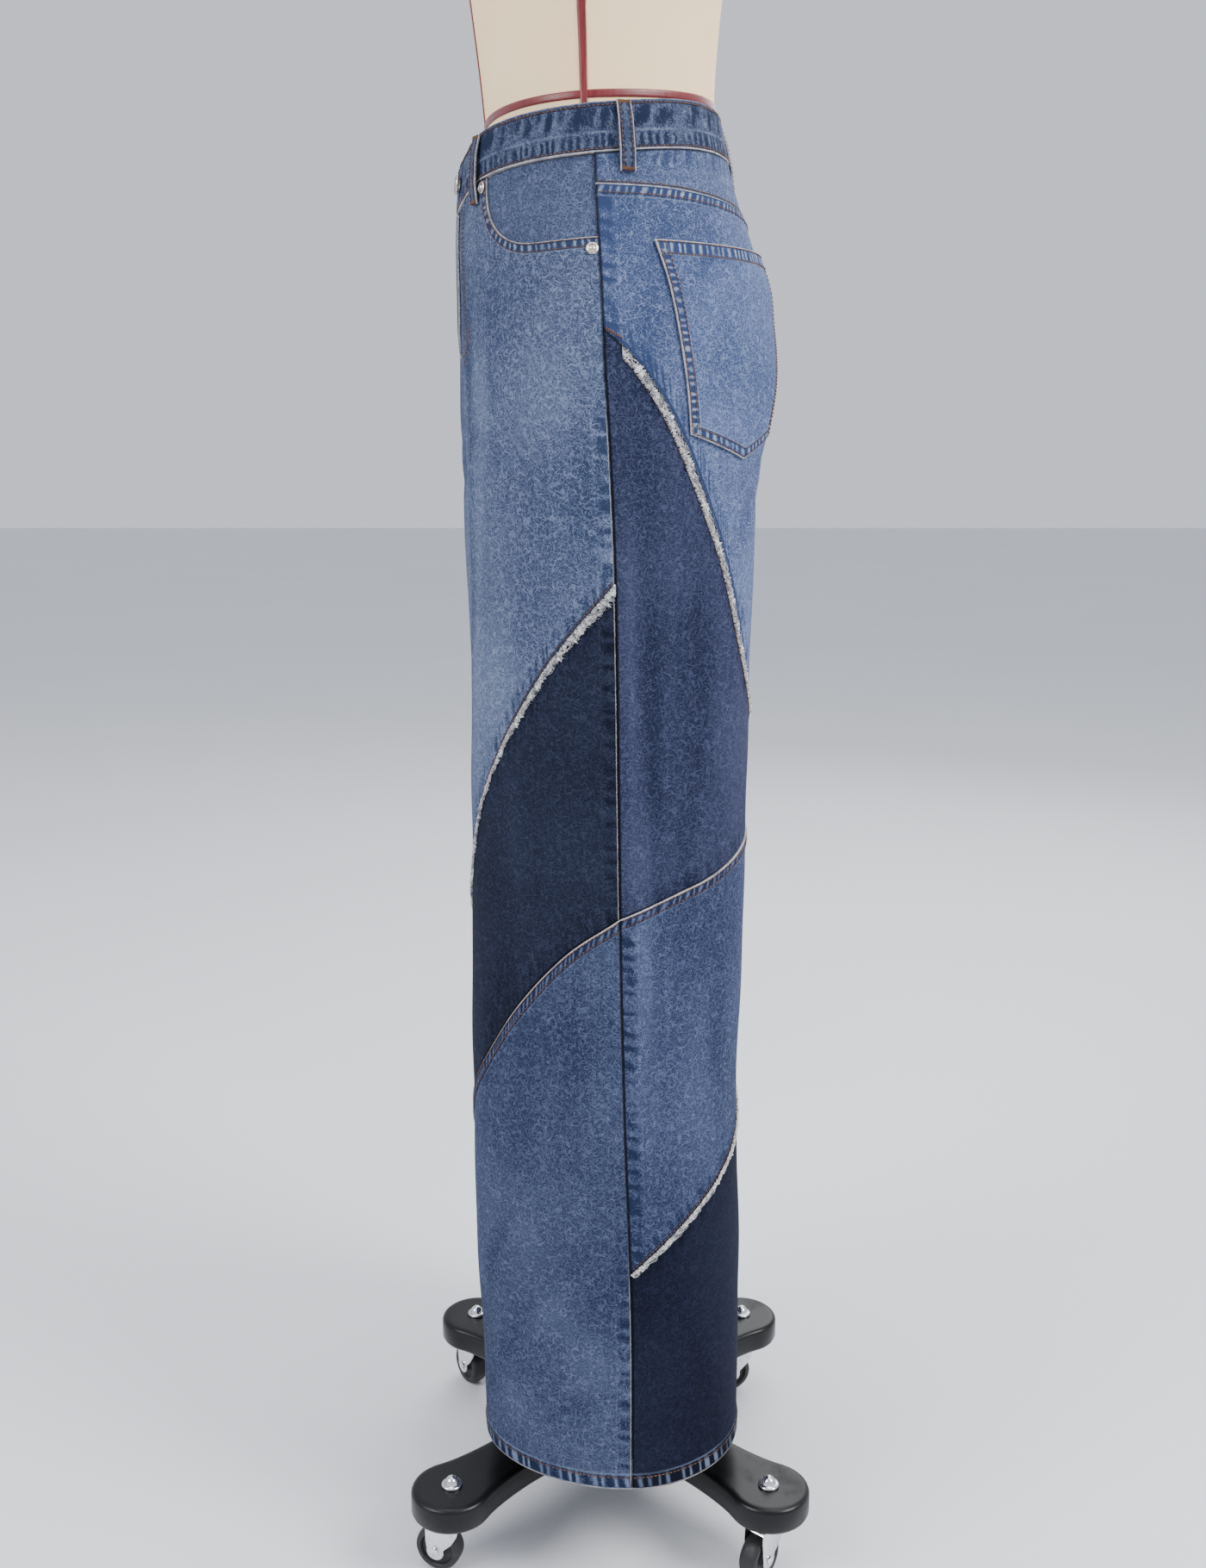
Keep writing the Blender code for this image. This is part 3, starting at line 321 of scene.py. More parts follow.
def long_spots(table, round_at, z, mirrored):
    """The sum of a table's soft long spots, in the flattened cloth."""
    total = 0.0 * (round_at + z)
    shift_round, shift_down = RIGHT_SPOTS if mirrored else (0.0, 0.0)
    for centre, level, direction, half_length, half_width, strength in table:
        from_x = round_at - radians(centre - 90.0) * LEG_RADIUS - shift_round
        from_z = z - level + shift_down
        along = from_x * cos(radians(direction)) + from_z * sin(radians(direction))
        across = from_z * cos(radians(direction)) - from_x * sin(radians(direction))
        total = total + strength * np.exp(-((along / half_length) ** 2) - (across / half_width) ** 2)
    return total


def fold_depth(angle, z):
    depth = 0.0 * (angle + z)
    for centre, width, low, high, full in FOLDS:
        along = np.clip((z - low) / (high - low), 0.0, 1.0)
        depth = depth + full * np.sin(pi * along) ** 2 * np.exp(-(((angle - centre) / width) ** 2))
    return depth


def round_from_side(angle):
    return np.radians(angle - 90.0) * LEG_RADIUS


def relief(angle, z, side):
    """Small creases, a slow swell and the puckers by the side seam, in metres outward."""
    round_at = round_from_side(angle)
    height = -long_spots(CREASES, round_at, z, side < 0)
    for round_waves, up_waves, shift, full in SWELLS:
        phase = 2 * pi * (round_waves * round_at + up_waves * z) + shift + (RIGHT_SWELL if side < 0 else 0.0)
        height = height + full * np.sin(phase)
    wobble = 1.4 * np.sin(41.0 * z) + 0.9 * np.sin(97.0 * z + 1.0)
    pucker = np.sin(2 * pi * z / PUCKER_PITCH + wobble) * np.exp(-((round_at / PUCKER_REACH) ** 2))
    height = height + PUCKER_DEPTH * pucker
    return height * np.clip((CALM_Z - z) / CALM_HEIGHT, 0.15, 1.0)


def cloth(angle, z, out=0.0, side=1):
    """Points of the left leg (side 1) or the right (-1), moved out from the cloth's face."""
    angle = np.asarray(angle, float)
    z = np.asarray(z, float)
    edge = middle_angle(z)
    to_edge = np.minimum(angle + edge, 180.0 + edge - angle)
    fade = np.where(z > CROTCH_Z, np.clip(to_edge / MIDDLE_FADE, 0.0, 1.0), 1.0)
    shift = out + fade * (relief(angle, z, side) - fold_depth(angle, z))
    points = section(angle, z) + normals(angle, z) * shift[..., None]
    points[..., 0] = np.maximum(points[..., 0], HALF_GAP) * side
    return turned(points)


def waist_ring(angle, z, out=0.0):
    """Points of the undivided waist at any angle from 0 to 360."""
    angle = np.mod(np.asarray(angle, float), 360.0)
    side = np.where(angle > 180.0, -1.0, 1.0)
    folded = np.where(angle > 180.0, 360.0 - angle, angle)
    points = section(folded, z) + normals(folded, z) * np.asarray(out)[..., None]
    points[..., 0] *= side
    return turned(points)


print("a point on the side seam:", [round(float(c), 4) for c in cloth(90.0, 0.6)])

# %% [markdown]
# ## Where a point is in the flat cloth
#
# Weave, wash and wear belong to the flat cloth, not to the room. Each panel
# keeps, at every point, how far it is round from the side seam and up from the
# floor, and how far it is from each of its seams. The materials read these
# as plain attributes, in metres.

# %% Distance round the leg
ARC_ANGLES = np.linspace(-96.0, 276.0, 373)
ARC_HEIGHTS = np.linspace(0.08, 1.18, 111)
arc_grid = section(ARC_ANGLES[None, :], ARC_HEIGHTS[:, None])
arc_steps = np.linalg.norm(np.diff(arc_grid, axis=1), axis=-1)
ARC = np.concatenate([np.zeros((len(ARC_HEIGHTS), 1)), np.cumsum(arc_steps, axis=1)], axis=1)
ARC -= ARC[:, [int(np.argmin(abs(ARC_ANGLES - 90.0)))]]


def arc_from_side(angle, z):
    a = np.clip((angle - ARC_ANGLES[0]) / (ARC_ANGLES[1] - ARC_ANGLES[0]), 0, len(ARC_ANGLES) - 1.001)
    h = np.clip((z - ARC_HEIGHTS[0]) / (ARC_HEIGHTS[1] - ARC_HEIGHTS[0]), 0, len(ARC_HEIGHTS) - 1.001)
    i, j = a.astype(int), h.astype(int)
    s, t = a - i, h - j
    low = ARC[j, i] * (1 - s) + ARC[j, i + 1] * s
    high = ARC[j + 1, i] * (1 - s) + ARC[j + 1, i + 1] * s
    return low * (1 - t) + high * t


print("round a leg at the hem:", round(float(ARC[2, -7] - ARC[2, 6]), 3), "m")


# %% [markdown]
# ## A wall of cloth
#
# A panel is an outer skin and an inner skin of points, joined round the rim. It
# could also be one skin with a Solidify modifier, but then a hem could not be
# thicker than the rest, and the two skins could not share the seam's exact line.

# %% Walls from grids of points
SHARP_CLOTH, SHARP_TURNED, SHARP_FORK = 50.0, 40.0, 35.0    # degrees between faces


def new_mesh(name, points, faces, channels=None, sharp=None):
    """A smooth mesh. channels are its point attributes."""
    mesh = bpy.data.meshes.new(name)
    mesh.from_pydata(points, [], faces)
    for key, values in (channels or {}).items():
        layer = mesh.attributes.new(key, "FLOAT_VECTOR", "POINT")
        layer.data.foreach_set("vector", values.reshape(-1, 3).astype(np.float32).ravel())
    mesh.shade_smooth()
    if sharp:
        mesh.set_sharp_from_angle(angle=radians(sharp))
    return mesh


def field(*values):
    """One to three values at every point, as a channel."""
    return np.stack(np.broadcast_arrays(*values, *[0.0] * (3 - len(values))), -1)


def wall_mesh(name, outer, inner, flip=False, channels=None):
    """A closed mesh between two grids of the same size, which share their channels."""
    rows, columns = outer.shape[:2]
    count = rows * columns
    index = np.arange(count).reshape(rows, columns)
    quads = np.stack([index[:-1, :-1], index[:-1, 1:], index[1:, 1:], index[1:, :-1]], -1).reshape(-1, 4)
    rim = np.concatenate([index[0, :], index[1:, -1], index[-1, -2::-1], index[-2:0:-1, 0]])
    following = np.roll(rim, -1)
    sides = np.stack([following, rim, rim + count, following + count], -1)
    faces = np.concatenate([quads, quads[:, ::-1] + count, sides])
    if flip:
        faces = faces[:, ::-1]
    points = np.concatenate([outer.reshape(-1, 3), inner.reshape(-1, 3)])
    both = {key: np.stack([values, values]) for key, values in (channels or {}).items()}
    return new_mesh(name, points.tolist(), faces.tolist(), both, SHARP_CLOTH)


def place_piece(name, mesh, material, nodes=(), body=BODY):
    """Link a mesh as one named piece that rides on a body and stands for its nodes."""
    piece = bpy.data.objects.new(name, mesh)
    bpy.context.scene.collection.objects.link(piece)
    mesh.materials.clear()
    mesh.materials.append(material)
    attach(piece, body)
    if nodes:
        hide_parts(*nodes)
    return piece


# %% [markdown]
# ## Finishes
#
# Denim is a twill: blue warp over white weft, so a steep diagonal rib shows.
# Washing rubs the blue off wherever the cloth stands proud. It leaves wandering
# pale lines, soft streaks down the warp, a rope of dark and pale marks beside
# each seam, and a nearly white line on each folded edge. Each of these effects
# is a node group, so that every panel can use it in its own strength.

# %% Small helpers for shader nodes
def node(tree, kind, inputs=None, **settings):
    made_node = tree.nodes.new(kind)
    for key, value in settings.items():
        setattr(made_node, key, value)
    for key, value in (inputs or {}).items():
        if isinstance(value, bpy.types.NodeSocket):
            tree.links.new(value, made_node.inputs[key])
        else:
            made_node.inputs[key].default_value = value
    return made_node


def maths(tree, operation, a, b=0.0, c=0.0, clamp=False):
    inputs = {0: a, 1: b, 2: c}
    return node(tree, "ShaderNodeMath", inputs, operation=operation, use_clamp=clamp).outputs[0]


def ramp(tree, value, low, high, at_low=0.0, at_high=1.0):
    """A soft step of a value from low to high."""
    inputs = {"Value": value, "From Min": low, "From Max": high, "To Min": at_low, "To Max": at_high}
    return node(tree, "ShaderNodeMapRange", inputs, interpolation_type="SMOOTHSTEP").outputs[0]


def blend(tree, amount, first, second):
    """Mix two colours, each a socket or (red, green, blue)."""
    first, second = ((*c, 1.0) if isinstance(c, tuple) else c for c in (first, second))
    return node(tree, "ShaderNodeMix", {0: amount, 6: first, 7: second}, data_type="RGBA").outputs[2]


def noise(tree, vector, scale, detail=2.0, roughness=0.5, distortion=0.0):
    inputs = {"Vector": vector, "Scale": scale, "Detail": detail, "Roughness": roughness,
              "Distortion": distortion}
    return node(tree, "ShaderNodeTexNoise", inputs).outputs["Fac"]


def stretch(tree, vector, x, y, z=1.0):
    return node(tree, "ShaderNodeVectorMath", {0: vector, 1: (x, y, z)}, operation="MULTIPLY").outputs[0]


def split(tree, vector):
    return node(tree, "ShaderNodeSeparateXYZ", {0: vector}).outputs


def new_group(name, vector, numbers, outputs):
    """A node group with one vector input, number inputs with their defaults, and number outputs."""
    group = bpy.data.node_groups.new(name, "ShaderNodeTree")
    group.interface.new_socket(vector, in_out="INPUT", socket_type="NodeSocketVector")
    for label, value in numbers.items():
        socket = group.interface.new_socket(label, in_out="INPUT", socket_type="NodeSocketFloat")
        socket.default_value = value
    for label in outputs:
        group.interface.new_socket(label, in_out="OUTPUT", socket_type="NodeSocketFloat")
    return group, group.nodes.new("NodeGroupInput").outputs, group.nodes.new("NodeGroupOutput").inputs


def use_group(tree, group, **inputs):
    return node(tree, "ShaderNodeGroup", inputs, node_tree=group).outputs


def attribute(tree, name):
    return node(tree, "ShaderNodeAttribute", attribute_name=name).outputs["Vector"]


def object_place(tree):
    return node(tree, "ShaderNodeTexCoord").outputs["Object"]


def finish(tree, shader, colour=None, roughness=None, bump=None):
    """Link what changes over the surface. bump is its strength, its distance and the height."""
    if colour is not None:
        tree.links.new(colour, shader.inputs["Base Color"])
    if roughness is not None:
        tree.links.new(roughness, shader.inputs["Roughness"])
    if bump is not None:
        given = dict(zip(("Strength", "Distance", "Height"), bump))
        tree.links.new(node(tree, "ShaderNodeBump", given).outputs["Normal"], shader.inputs["Normal"])


def new_material(name, colour, roughness, metallic=0.0, **sockets):
    material = bpy.data.materials.new(name)
    material.use_nodes = True
    shader = material.node_tree.nodes["Principled BSDF"]
    shader.inputs["Base Color"].default_value = (*colour, 1.0)
    shader.inputs["Roughness"].default_value = roughness
    shader.inputs["Metallic"].default_value = metallic
    for key, value in sockets.items():
        shader.inputs[key.replace("_", " ")].default_value = value
    return material, material.node_tree, shader


# %% [markdown]
# ### The weave
#
# A twill rib is under a millimetre wide. It is two crossing waves: one runs
# along the rib and one cuts it into floats. Slow noise bends both, because a
# cotton yarn is never even.

# %% Weave group
WEAVE, given, result = new_group("twill weave", "Cloth", {"Pitch": 0.0011}, ("Height", "Weft"))
tree = WEAVE
slub = noise(tree, stretch(tree, given["Cloth"], 900.0, 160.0), 1.0, 2.0)
axes = split(tree, given["Cloth"])
along_rib = maths(tree, "DIVIDE", maths(tree, "MULTIPLY_ADD", axes[1], 0.55, axes[0]), given["Pitch"])
rib_phase = maths(tree, "MULTIPLY_ADD", slub, 1.4, along_rib)
rib = maths(tree, "SINE", maths(tree, "MULTIPLY", rib_phase, 2 * pi))
cut_phase = maths(tree, "DIVIDE", maths(tree, "MULTIPLY_ADD", axes[1], -1.1, axes[0]), given["Pitch"])
cut = maths(tree, "SINE", maths(tree, "MULTIPLY", cut_phase, 2 * pi * 0.8))
floats = maths(tree, "MULTIPLY_ADD", cut, 0.35, rib)
tree.links.new(ramp(tree, floats, -1.2, 1.2), result["Height"])
tree.links.new(maths(tree, "MULTIPLY", ramp(tree, floats, -0.3, -1.1), slub), result["Weft"])
print("weave group:", len(WEAVE.nodes), "nodes")

# %% [markdown]
# ### Wash marks
#
# The pale wandering lines are the level lines of a soft noise: where its value
# crosses the middle, the cloth was rubbed. Two sizes lie over each other. The
# streaks follow the warp, and the clouds are wide and weak.

# %% Wash group
WASH, given, result = new_group(
    "wash marks", "Cloth", {"Size": 0.0056}, ("Lines", "Grains", "Streaks", "Clouds"),
)
tree = WASH
scale = maths(tree, "DIVIDE", 1.0, given["Size"])
wide = noise(tree, given["Cloth"], scale, 1.2, 0.5, 0.7)
fine = noise(tree, given["Cloth"], maths(tree, "MULTIPLY", scale, 1.7), 1.0, 0.5, 0.6)
wide_line = ramp(tree, maths(tree, "ABSOLUTE", maths(tree, "SUBTRACT", wide, 0.5)), 0.052, 0.008)
fine_line = ramp(tree, maths(tree, "ABSOLUTE", maths(tree, "SUBTRACT", fine, 0.5)), 0.065, 0.010)
patchy = ramp(tree, noise(tree, given["Cloth"], 70.0, 1.0), 0.28, 0.55, 0.70, 1.0)
wide_line = maths(tree, "MULTIPLY", wide_line, patchy)
fine_line = maths(tree, "MULTIPLY", fine_line, 0.60)
tree.links.new(maths(tree, "MAXIMUM", wide_line, fine_line), result["Lines"])
tree.links.new(noise(tree, given["Cloth"], 900.0, 2.0, 0.65), result["Grains"])
tree.links.new(noise(tree, stretch(tree, given["Cloth"], 260.0, 11.0), 1.0, 2.5, 0.6), result["Streaks"])
tree.links.new(noise(tree, given["Cloth"], 14.0, 2.5, 0.55), result["Clouds"])
print("wash group:", len(WASH.nodes), "nodes")

# %% [markdown]
# ### Rope marks and worn edges
#
# A sewn seam shrinks in the wash and twists like a rope, and the stone rubs only its crests. So beside every
# stitched seam there is a row of dark ovals with pale gaps. Seam holds the distance down the seam in X and
# from it in Y. The worn edge is the pale line on a fold. The groove shade is painted shade: a dark line in
# the seam, where shadow falls. The stitch row shade is painted shade along the sunk line of each row of
# stitches, where the cloth also stays unrubbed.

# %% Rope, edge and row groups
ROPE, given, result = new_group(
    "rope marks", "Seam",
    {"Pitch": 0.0143, "Near": 0.001, "Far": 0.011, "Slant": 0.0, "Blots": 110.0, "Chance": 1.15},
    ("Dark", "Pale"),
)
tree = ROPE
axes = split(tree, given["Seam"])
drift = noise(tree, stretch(tree, given["Seam"], 55.0, 0.0, 0.0), 1.0, 1.0)     # along the seam alone
slanted = maths(tree, "MULTIPLY_ADD", axes[1], given["Slant"], axes[0])
phase = maths(tree, "MULTIPLY_ADD", drift, 2.2, maths(tree, "DIVIDE", slanted, given["Pitch"]))
wave = maths(tree, "SINE", maths(tree, "MULTIPLY", phase, 2 * pi))
blots = maths(tree, "ADD", noise(tree, given["Seam"], given["Blots"], 2.5, 0.6), -0.5)
ragged = maths(tree, "MULTIPLY_ADD", blots, given["Chance"], maths(tree, "MULTIPLY", wave, 0.90))
reach = maths(tree, "SUBTRACT", given["Far"], given["Near"])
inside = maths(tree, "DIVIDE", maths(tree, "SUBTRACT", axes[1], given["Near"]), reach)
window = maths(tree, "MULTIPLY", ramp(tree, inside, -0.05, 0.2), ramp(tree, inside, 1.1, 0.55))
coming = noise(tree, stretch(tree, given["Seam"], 24.0, 0.0, 0.0), 1.0, 1.0)
strength = ramp(tree, coming, 0.32, 0.62, 0.30, 1.0)
window = maths(tree, "MULTIPLY", window, strength)
band = maths(tree, "MULTIPLY", window, 0.24)
tree.links.new(maths(tree, "MULTIPLY_ADD", ramp(tree, ragged, -0.2, 1.25), window, band), result["Dark"])
border = ramp(tree, maths(tree, "ABSOLUTE", maths(tree, "SUBTRACT", inside, 1.04)), 0.10, 0.02)
border = maths(tree, "MULTIPLY", border, maths(tree, "MULTIPLY", strength, 0.5))
tree.links.new(maths(tree, "MULTIPLY_ADD", ramp(tree, ragged, -0.1, -0.9), window, border), result["Pale"])

EDGE, given, result = new_group("worn edge and groove shade", "Seam", {"Start": 0.0, "Width": 0.0010}, ("Worn", "Groove Shade"))
tree = EDGE
axes = split(tree, given["Seam"])
uneven = maths(tree, "ADD", noise(tree, given["Seam"], 620.0, 3.0), -0.5)
place = maths(tree, "MULTIPLY_ADD", uneven, 0.0011, maths(tree, "SUBTRACT", axes[1], given["Start"]))
inside = ramp(tree, maths(tree, "DIVIDE", place, given["Width"]), 1.15, 0.65)
begun = ramp(tree, place, -0.0003, 0.0001)
coming = noise(tree, stretch(tree, given["Seam"], 75.0, 0.0, 0.0), 1.0)
rubbed = ramp(tree, coming, 0.30, 0.60, 0.45, 1.0)
tree.links.new(maths(tree, "MULTIPLY", maths(tree, "MULTIPLY", inside, begun), rubbed), result["Worn"])
# The groove output is painted shade: a dark line in the seam, where shadow falls.
tree.links.new(ramp(tree, axes[1], 0.0020, 0.0007), result["Groove Shade"])

# Shade is painted shade along the sunk line of a stitch row.
ROW, given, result = new_group("stitch row shade", "Seam", {"Row": 0.0014}, ("Shade",))
tree = ROW
axes = split(tree, given["Seam"])
gap = maths(tree, "ABSOLUTE", maths(tree, "SUBTRACT", axes[1], given["Row"]))
tree.links.new(ramp(tree, gap, 0.00115, 0.0004), result["Shade"])
print("seam groups:", len(ROPE.nodes) + len(EDGE.nodes) + len(ROW.nodes), "nodes")

# %% [markdown]
# ### Denim
#
# Each panel's material starts from its own blue. Deep and worn are that blue before and after the rubbing,
# and the wash group moves between them. Each seam adds rope marks, a pale edge, a dark groove of painted
# shade, and lines of painted shade in the sunk rows of its stitches, where the cloth also stays unrubbed.
# Between the rope marks of some seams the cloth is rubbed nearly white. The
# twill is in the bump and, faintly, in the colour.

# %% Wear beside the seams
PALE = (0.42, 0.47, 0.55)
EDGE_PALE = (0.55, 0.52, 0.515)
GAP_PALE = (0.20, 0.26, 0.37)
GAP_STRENGTH = {"hem": 0.62, "band": 0.16, "fell": 0.42, "double": 0.38, "pocket_hem": 0.42}
ROPE_CHANCE = {"band_top": 2.8}     # how much chance bends the marks, where they are a web
ROW_SHADE = -0.75                   # painted shade in the sunk line beside the stitches, where the cloth also stays unrubbed
DEEP_BLUE, WORN_BLUE, PALE_BLUE = (0.30, 0.36, 0.46), (1.85, 1.70, 1.52), (5.0, 4.2, 3.2)
# Share of the panel's blue in the painted shade of a seam's groove.
GROOVE_SHADE_BLUE = 0.10
SEAM_WEAR = {
    # rope: pitch, near, far, slant, blots, dark, pale; pale edge: start, width, strength; painted groove
    # shade;
    # distances of the stitch rows
    "allowance": (0.0143, 0.0004, 0.0128, 0.3, 130.0, 0.88, 0.20, 0.0, 0.0, 0.0, 0.95, ()),
    "pressed": (0.0143, 0.0004, 0.0120, -0.2, 130.0, 0.66, 0.36, 0.0011, 0.0005, 0.55, 0.80, ()),
    "groove": (0.0143, 0.0, 0.0, 0.0, 120.0, 0.0, 0.0, 0.0, 0.0, 0.0, 0.95, ()),
    "fell": (0.0066, 0.0012, 0.0080, 0.35, 190.0, 1.20, 0.30, 0.0, 0.0008, 0.85, 0.0, (0.0016, 0.0064)),
    "double": (0.0058, 0.0012, 0.0074, 0.0, 210.0, 1.25, 0.45, 0.0, 0.0008, 0.75, 0.0, (0.0014, 0.0066)),
    "hem": (0.0092, 0.0012, 0.0130, 0.15, 110.0, 1.50, 0.60, 0.0, 0.0016, 0.60, 0.0, (0.0112,)),
    "band": (0.0074, 0.0022, 0.0125, 0.0, 120.0, 1.00, 0.40, 0.0, 0.0009, 0.85, 0.0, (0.0021,)),
    "band_top": (0.0260, 0.0030, 0.0200, 0.6, 150.0, 1.20, 0.60, 0.0, 0.0006, 0.35, 0.0, (0.0026,)),
    "plain": (0.0100, 0.0, 0.0, 0.0, 120.0, 0.0, 0.0, 0.0, 0.0006, 0.40, 0.55, ()),
    "loop": (0.0060, 0.0020, 0.0050, 0.0, 200.0, 0.60, 0.20, 0.0, 0.0008, 0.70, 0.0, (0.0022,)),
    "under": (0.0110, 0.0004, 0.0150, 0.2, 110.0, 0.32, 0.10, 0.0, 0.0, 0.0, 0.85, ()),
    "raw": (0.0110, 0.0026, 0.0120, 0.4, 120.0, 0.55, 0.16, 0.0, 0.0, 0.0, 0.55, (0.0022,)),
    "pocket_hem": (0.0062, 0.0018, 0.0100, 0.0, 190.0, 1.25, 0.50, 0.0, 0.0008, 0.85, 0.0, (0.0014, 0.0098)),
}


# %% Denim material
def denim(name, blue, contrast, marks, seams=()):
    """marks is the strength of the wandering lines. Each seam is (attribute, kind)."""
    deep = tuple(c * k for c, k in zip(blue, DEEP_BLUE))
    worn = tuple(c * k for c, k in zip(blue, WORN_BLUE))
    palest = tuple(min(most, c * k) for most, c, k in zip(PALE, blue, PALE_BLUE))
    material, tree, shader = new_material(name, blue, 0.88, Specular_IOR_Level=0.12)
    grain = attribute(tree, "grain")
    weave = use_group(tree, WEAVE, Cloth=grain)
    wash = use_group(tree, WASH, Cloth=grain)
    tone = split(tree, attribute(tree, "tone"))
    amount = maths(tree, "ADD", 0.42, tone[0])
    for output, weight in (("Streaks", 0.24), ("Clouds", 0.04), ("Grains", 1.9)):
        centred = maths(tree, "ADD", wash[output], -0.5)
        amount = maths(tree, "MULTIPLY_ADD", centred, weight * contrast, amount)
    amount = maths(tree, "MULTIPLY_ADD", wash["Lines"], marks, amount)
    amount = maths(tree, "MULTIPLY_ADD", weave["Height"], -0.10, amount)
    worn_edges, groove_shades, gaps = [], [], []
    for attribute_name, kind in seams:
        seam = attribute(tree, attribute_name)
        pitch, near, far, slant, blots, dark, pale, start, width, strength, groove, rows = SEAM_WEAR[kind]
        if far > 0:
            rope = use_group(tree, ROPE, Seam=seam, Pitch=pitch, Near=near, Far=far, Slant=slant, Blots=blots,
                             Chance=ROPE_CHANCE.get(kind, 1.15))
            here = maths(tree, "SUBTRACT", 1.0, split(tree, seam)[2], clamp=True)
            amount = maths(tree, "MULTIPLY_ADD", maths(tree, "MULTIPLY", rope["Dark"], here), -dark, amount)
            amount = maths(tree, "MULTIPLY_ADD", maths(tree, "MULTIPLY", rope["Pale"], here), pale, amount)
            if kind in GAP_STRENGTH:
                gaps.append((rope["Pale"], GAP_STRENGTH[kind], GAP_PALE if kind == "hem" else palest))
        if width > 0 or groove > 0:
            edge = use_group(tree, EDGE, Seam=seam, Start=start, Width=width)
            if width > 0:
                rubbed = edge["Worn"] if kind != "pressed" else maths(tree, "MULTIPLY", edge["Worn"], here)
                worn_edges.append((rubbed, strength, EDGE_PALE))
            # The groove is painted shade: a dark line in the seam, where shadow falls.
            if groove > 0:
                groove_shades.append((edge["Groove Shade"], groove, tuple(c * GROOVE_SHADE_BLUE for c in blue)))
        # Painted shade along each sunk stitch row, where the cloth also stays unrubbed.
        for row in rows:
            line = use_group(tree, ROW, Seam=seam, Row=row)
            amount = maths(tree, "MULTIPLY_ADD", line["Shade"], ROW_SHADE, amount)
    colour = blend(tree, ramp(tree, amount, 0.0, 1.0), deep, worn)
    colour = blend(tree, ramp(tree, amount, 0.85, 1.7, 0.0, 0.6), colour, palest)
    for mask, strength, tint in groove_shades + gaps + worn_edges:
        colour = blend(tree, maths(tree, "MULTIPLY", mask, strength), colour, tint)
    height = maths(tree, "MULTIPLY_ADD", wash["Lines"], 1.6, weave["Height"])
    height = maths(tree, "MULTIPLY_ADD", wash["Grains"], 0.8, height)
    finish(tree, shader, colour, ramp(tree, wash["Grains"], 0.3, 0.7, 0.80, 0.94), (0.55, 0.00045, height))
    return material


# The shin, calf and ankle panels have darker blues than the thigh, seat and back thigh panels of the same
# denim: painted shade for the light falling off towards the floor, beyond what the lamps give.
finishes = {
    "front_upper": denim("front thigh denim", (0.066, 0.090, 0.163), 1.0, 0.62,
                         (("side", "pressed"), ("high", "under"), ("low", "raw"), ("opening", "double"))),
    "front_middle": denim("front knee denim", (0.0092, 0.0130, 0.0300), 1.0, 0.72,
                          (("side", "pressed"), ("high", "under"), ("low", "under"))),
    "front_lower": denim("front shin denim", (0.034, 0.048, 0.100), 1.0, 0.76,
                         (("side", "pressed"), ("high", "fell"), ("low", "hem"))),
    "yoke": denim("yoke denim", (0.096, 0.128, 0.235), 0.9, 0.42,
                  (("side", "groove"), ("high", "under"), ("low", "plain"))),
    "back_upper": denim("seat denim", (0.085, 0.117, 0.228), 1.0, 0.48,
                        (("side", "allowance"), ("high", "fell"), ("low", "raw"))),
    "back_middle": denim("back thigh denim", (0.0225, 0.0295, 0.0660), 1.0, 0.66,
                         (("side", "groove"), ("high", "under"), ("low", "under"))),
    "back_lower": denim("calf denim", (0.037, 0.052, 0.111), 1.0, 0.70,
                        (("side", "allowance"), ("high", "fell"), ("low", "raw"))),
    "back_bottom": denim("ankle denim", (0.0060, 0.0085, 0.0235), 1.0, 0.60,
                         (("low", "hem"), ("side", "groove"), ("high", "under"))),
    "pocket_facing": denim("pocket facing denim", (0.053, 0.073, 0.140), 1.0, 0.50),
    "back_pocket": denim("back pocket denim", (0.088, 0.124, 0.245), 0.9, 0.46,
                         (("side", "double"), ("high", "pocket_hem"), ("low", "double"))),
    "waistband": denim("waistband denim", (0.038, 0.052, 0.100), 1.4, 0.74,
                       (("low", "band"), ("high", "band_top"))),
    "loop": denim("belt loop denim", (0.055, 0.074, 0.130), 1.0, 0.25, (("side", "loop"),)),
}
print(len(finishes), "denim finishes")

# %% [markdown]
# ## Panels
#
# A panel is cut flat along its seam lines and sewn edge to edge. Here it is a
# patch stretched between its four edges, with a close row of points beside each
# seam, so that the cloth can roll into the seam or lie double there. A felled
# seam lies three layers thick for 7.5 mm, which the lower panel shows as a flat
# raised band. A hem is turned up twice, so it is thicker for 12 mm.

# %% Where the points of a panel go
PLAIN_EDGE = (0.0, 0.0005, 0.0014, 0.0035)      # rows of points, metres in from the edge
HEM_EDGE = (0.0, 0.0006, 0.0030, 0.0060, 0.0090, 0.0112, 0.0120, 0.0132, 0.0160)
EDGE_ROWS = {
    "plain": PLAIN_EDGE,
    "fell": (0.0, 0.0005, 0.0013, 0.0030, 0.0054, 0.0069, 0.0079, 0.0100),
    "hem": HEM_EDGE,
}
FELL_WIDTH, FELL_RISE = 0.0074, 0.0009
ROLL = 0.00055
END_MARGIN = 0.6            # degrees: a seam line's slope is read no nearer to its ends
RIGHT_SHIFT = 3.0           # metres: the right leg is cut from another place in the cloth
INSEAM_GAP_ANGLE, SIDE_GAP_ANGLE = 0.04, 0.05
FRONT_INSEAM, FRONT_SIDE = -90.0 + INSEAM_GAP_ANGLE, 90.0 - SIDE_GAP_ANGLE
BACK_SIDE, BACK_INSEAM = 90.0 + SIDE_GAP_ANGLE, 270.0 - INSEAM_GAP_ANGLE

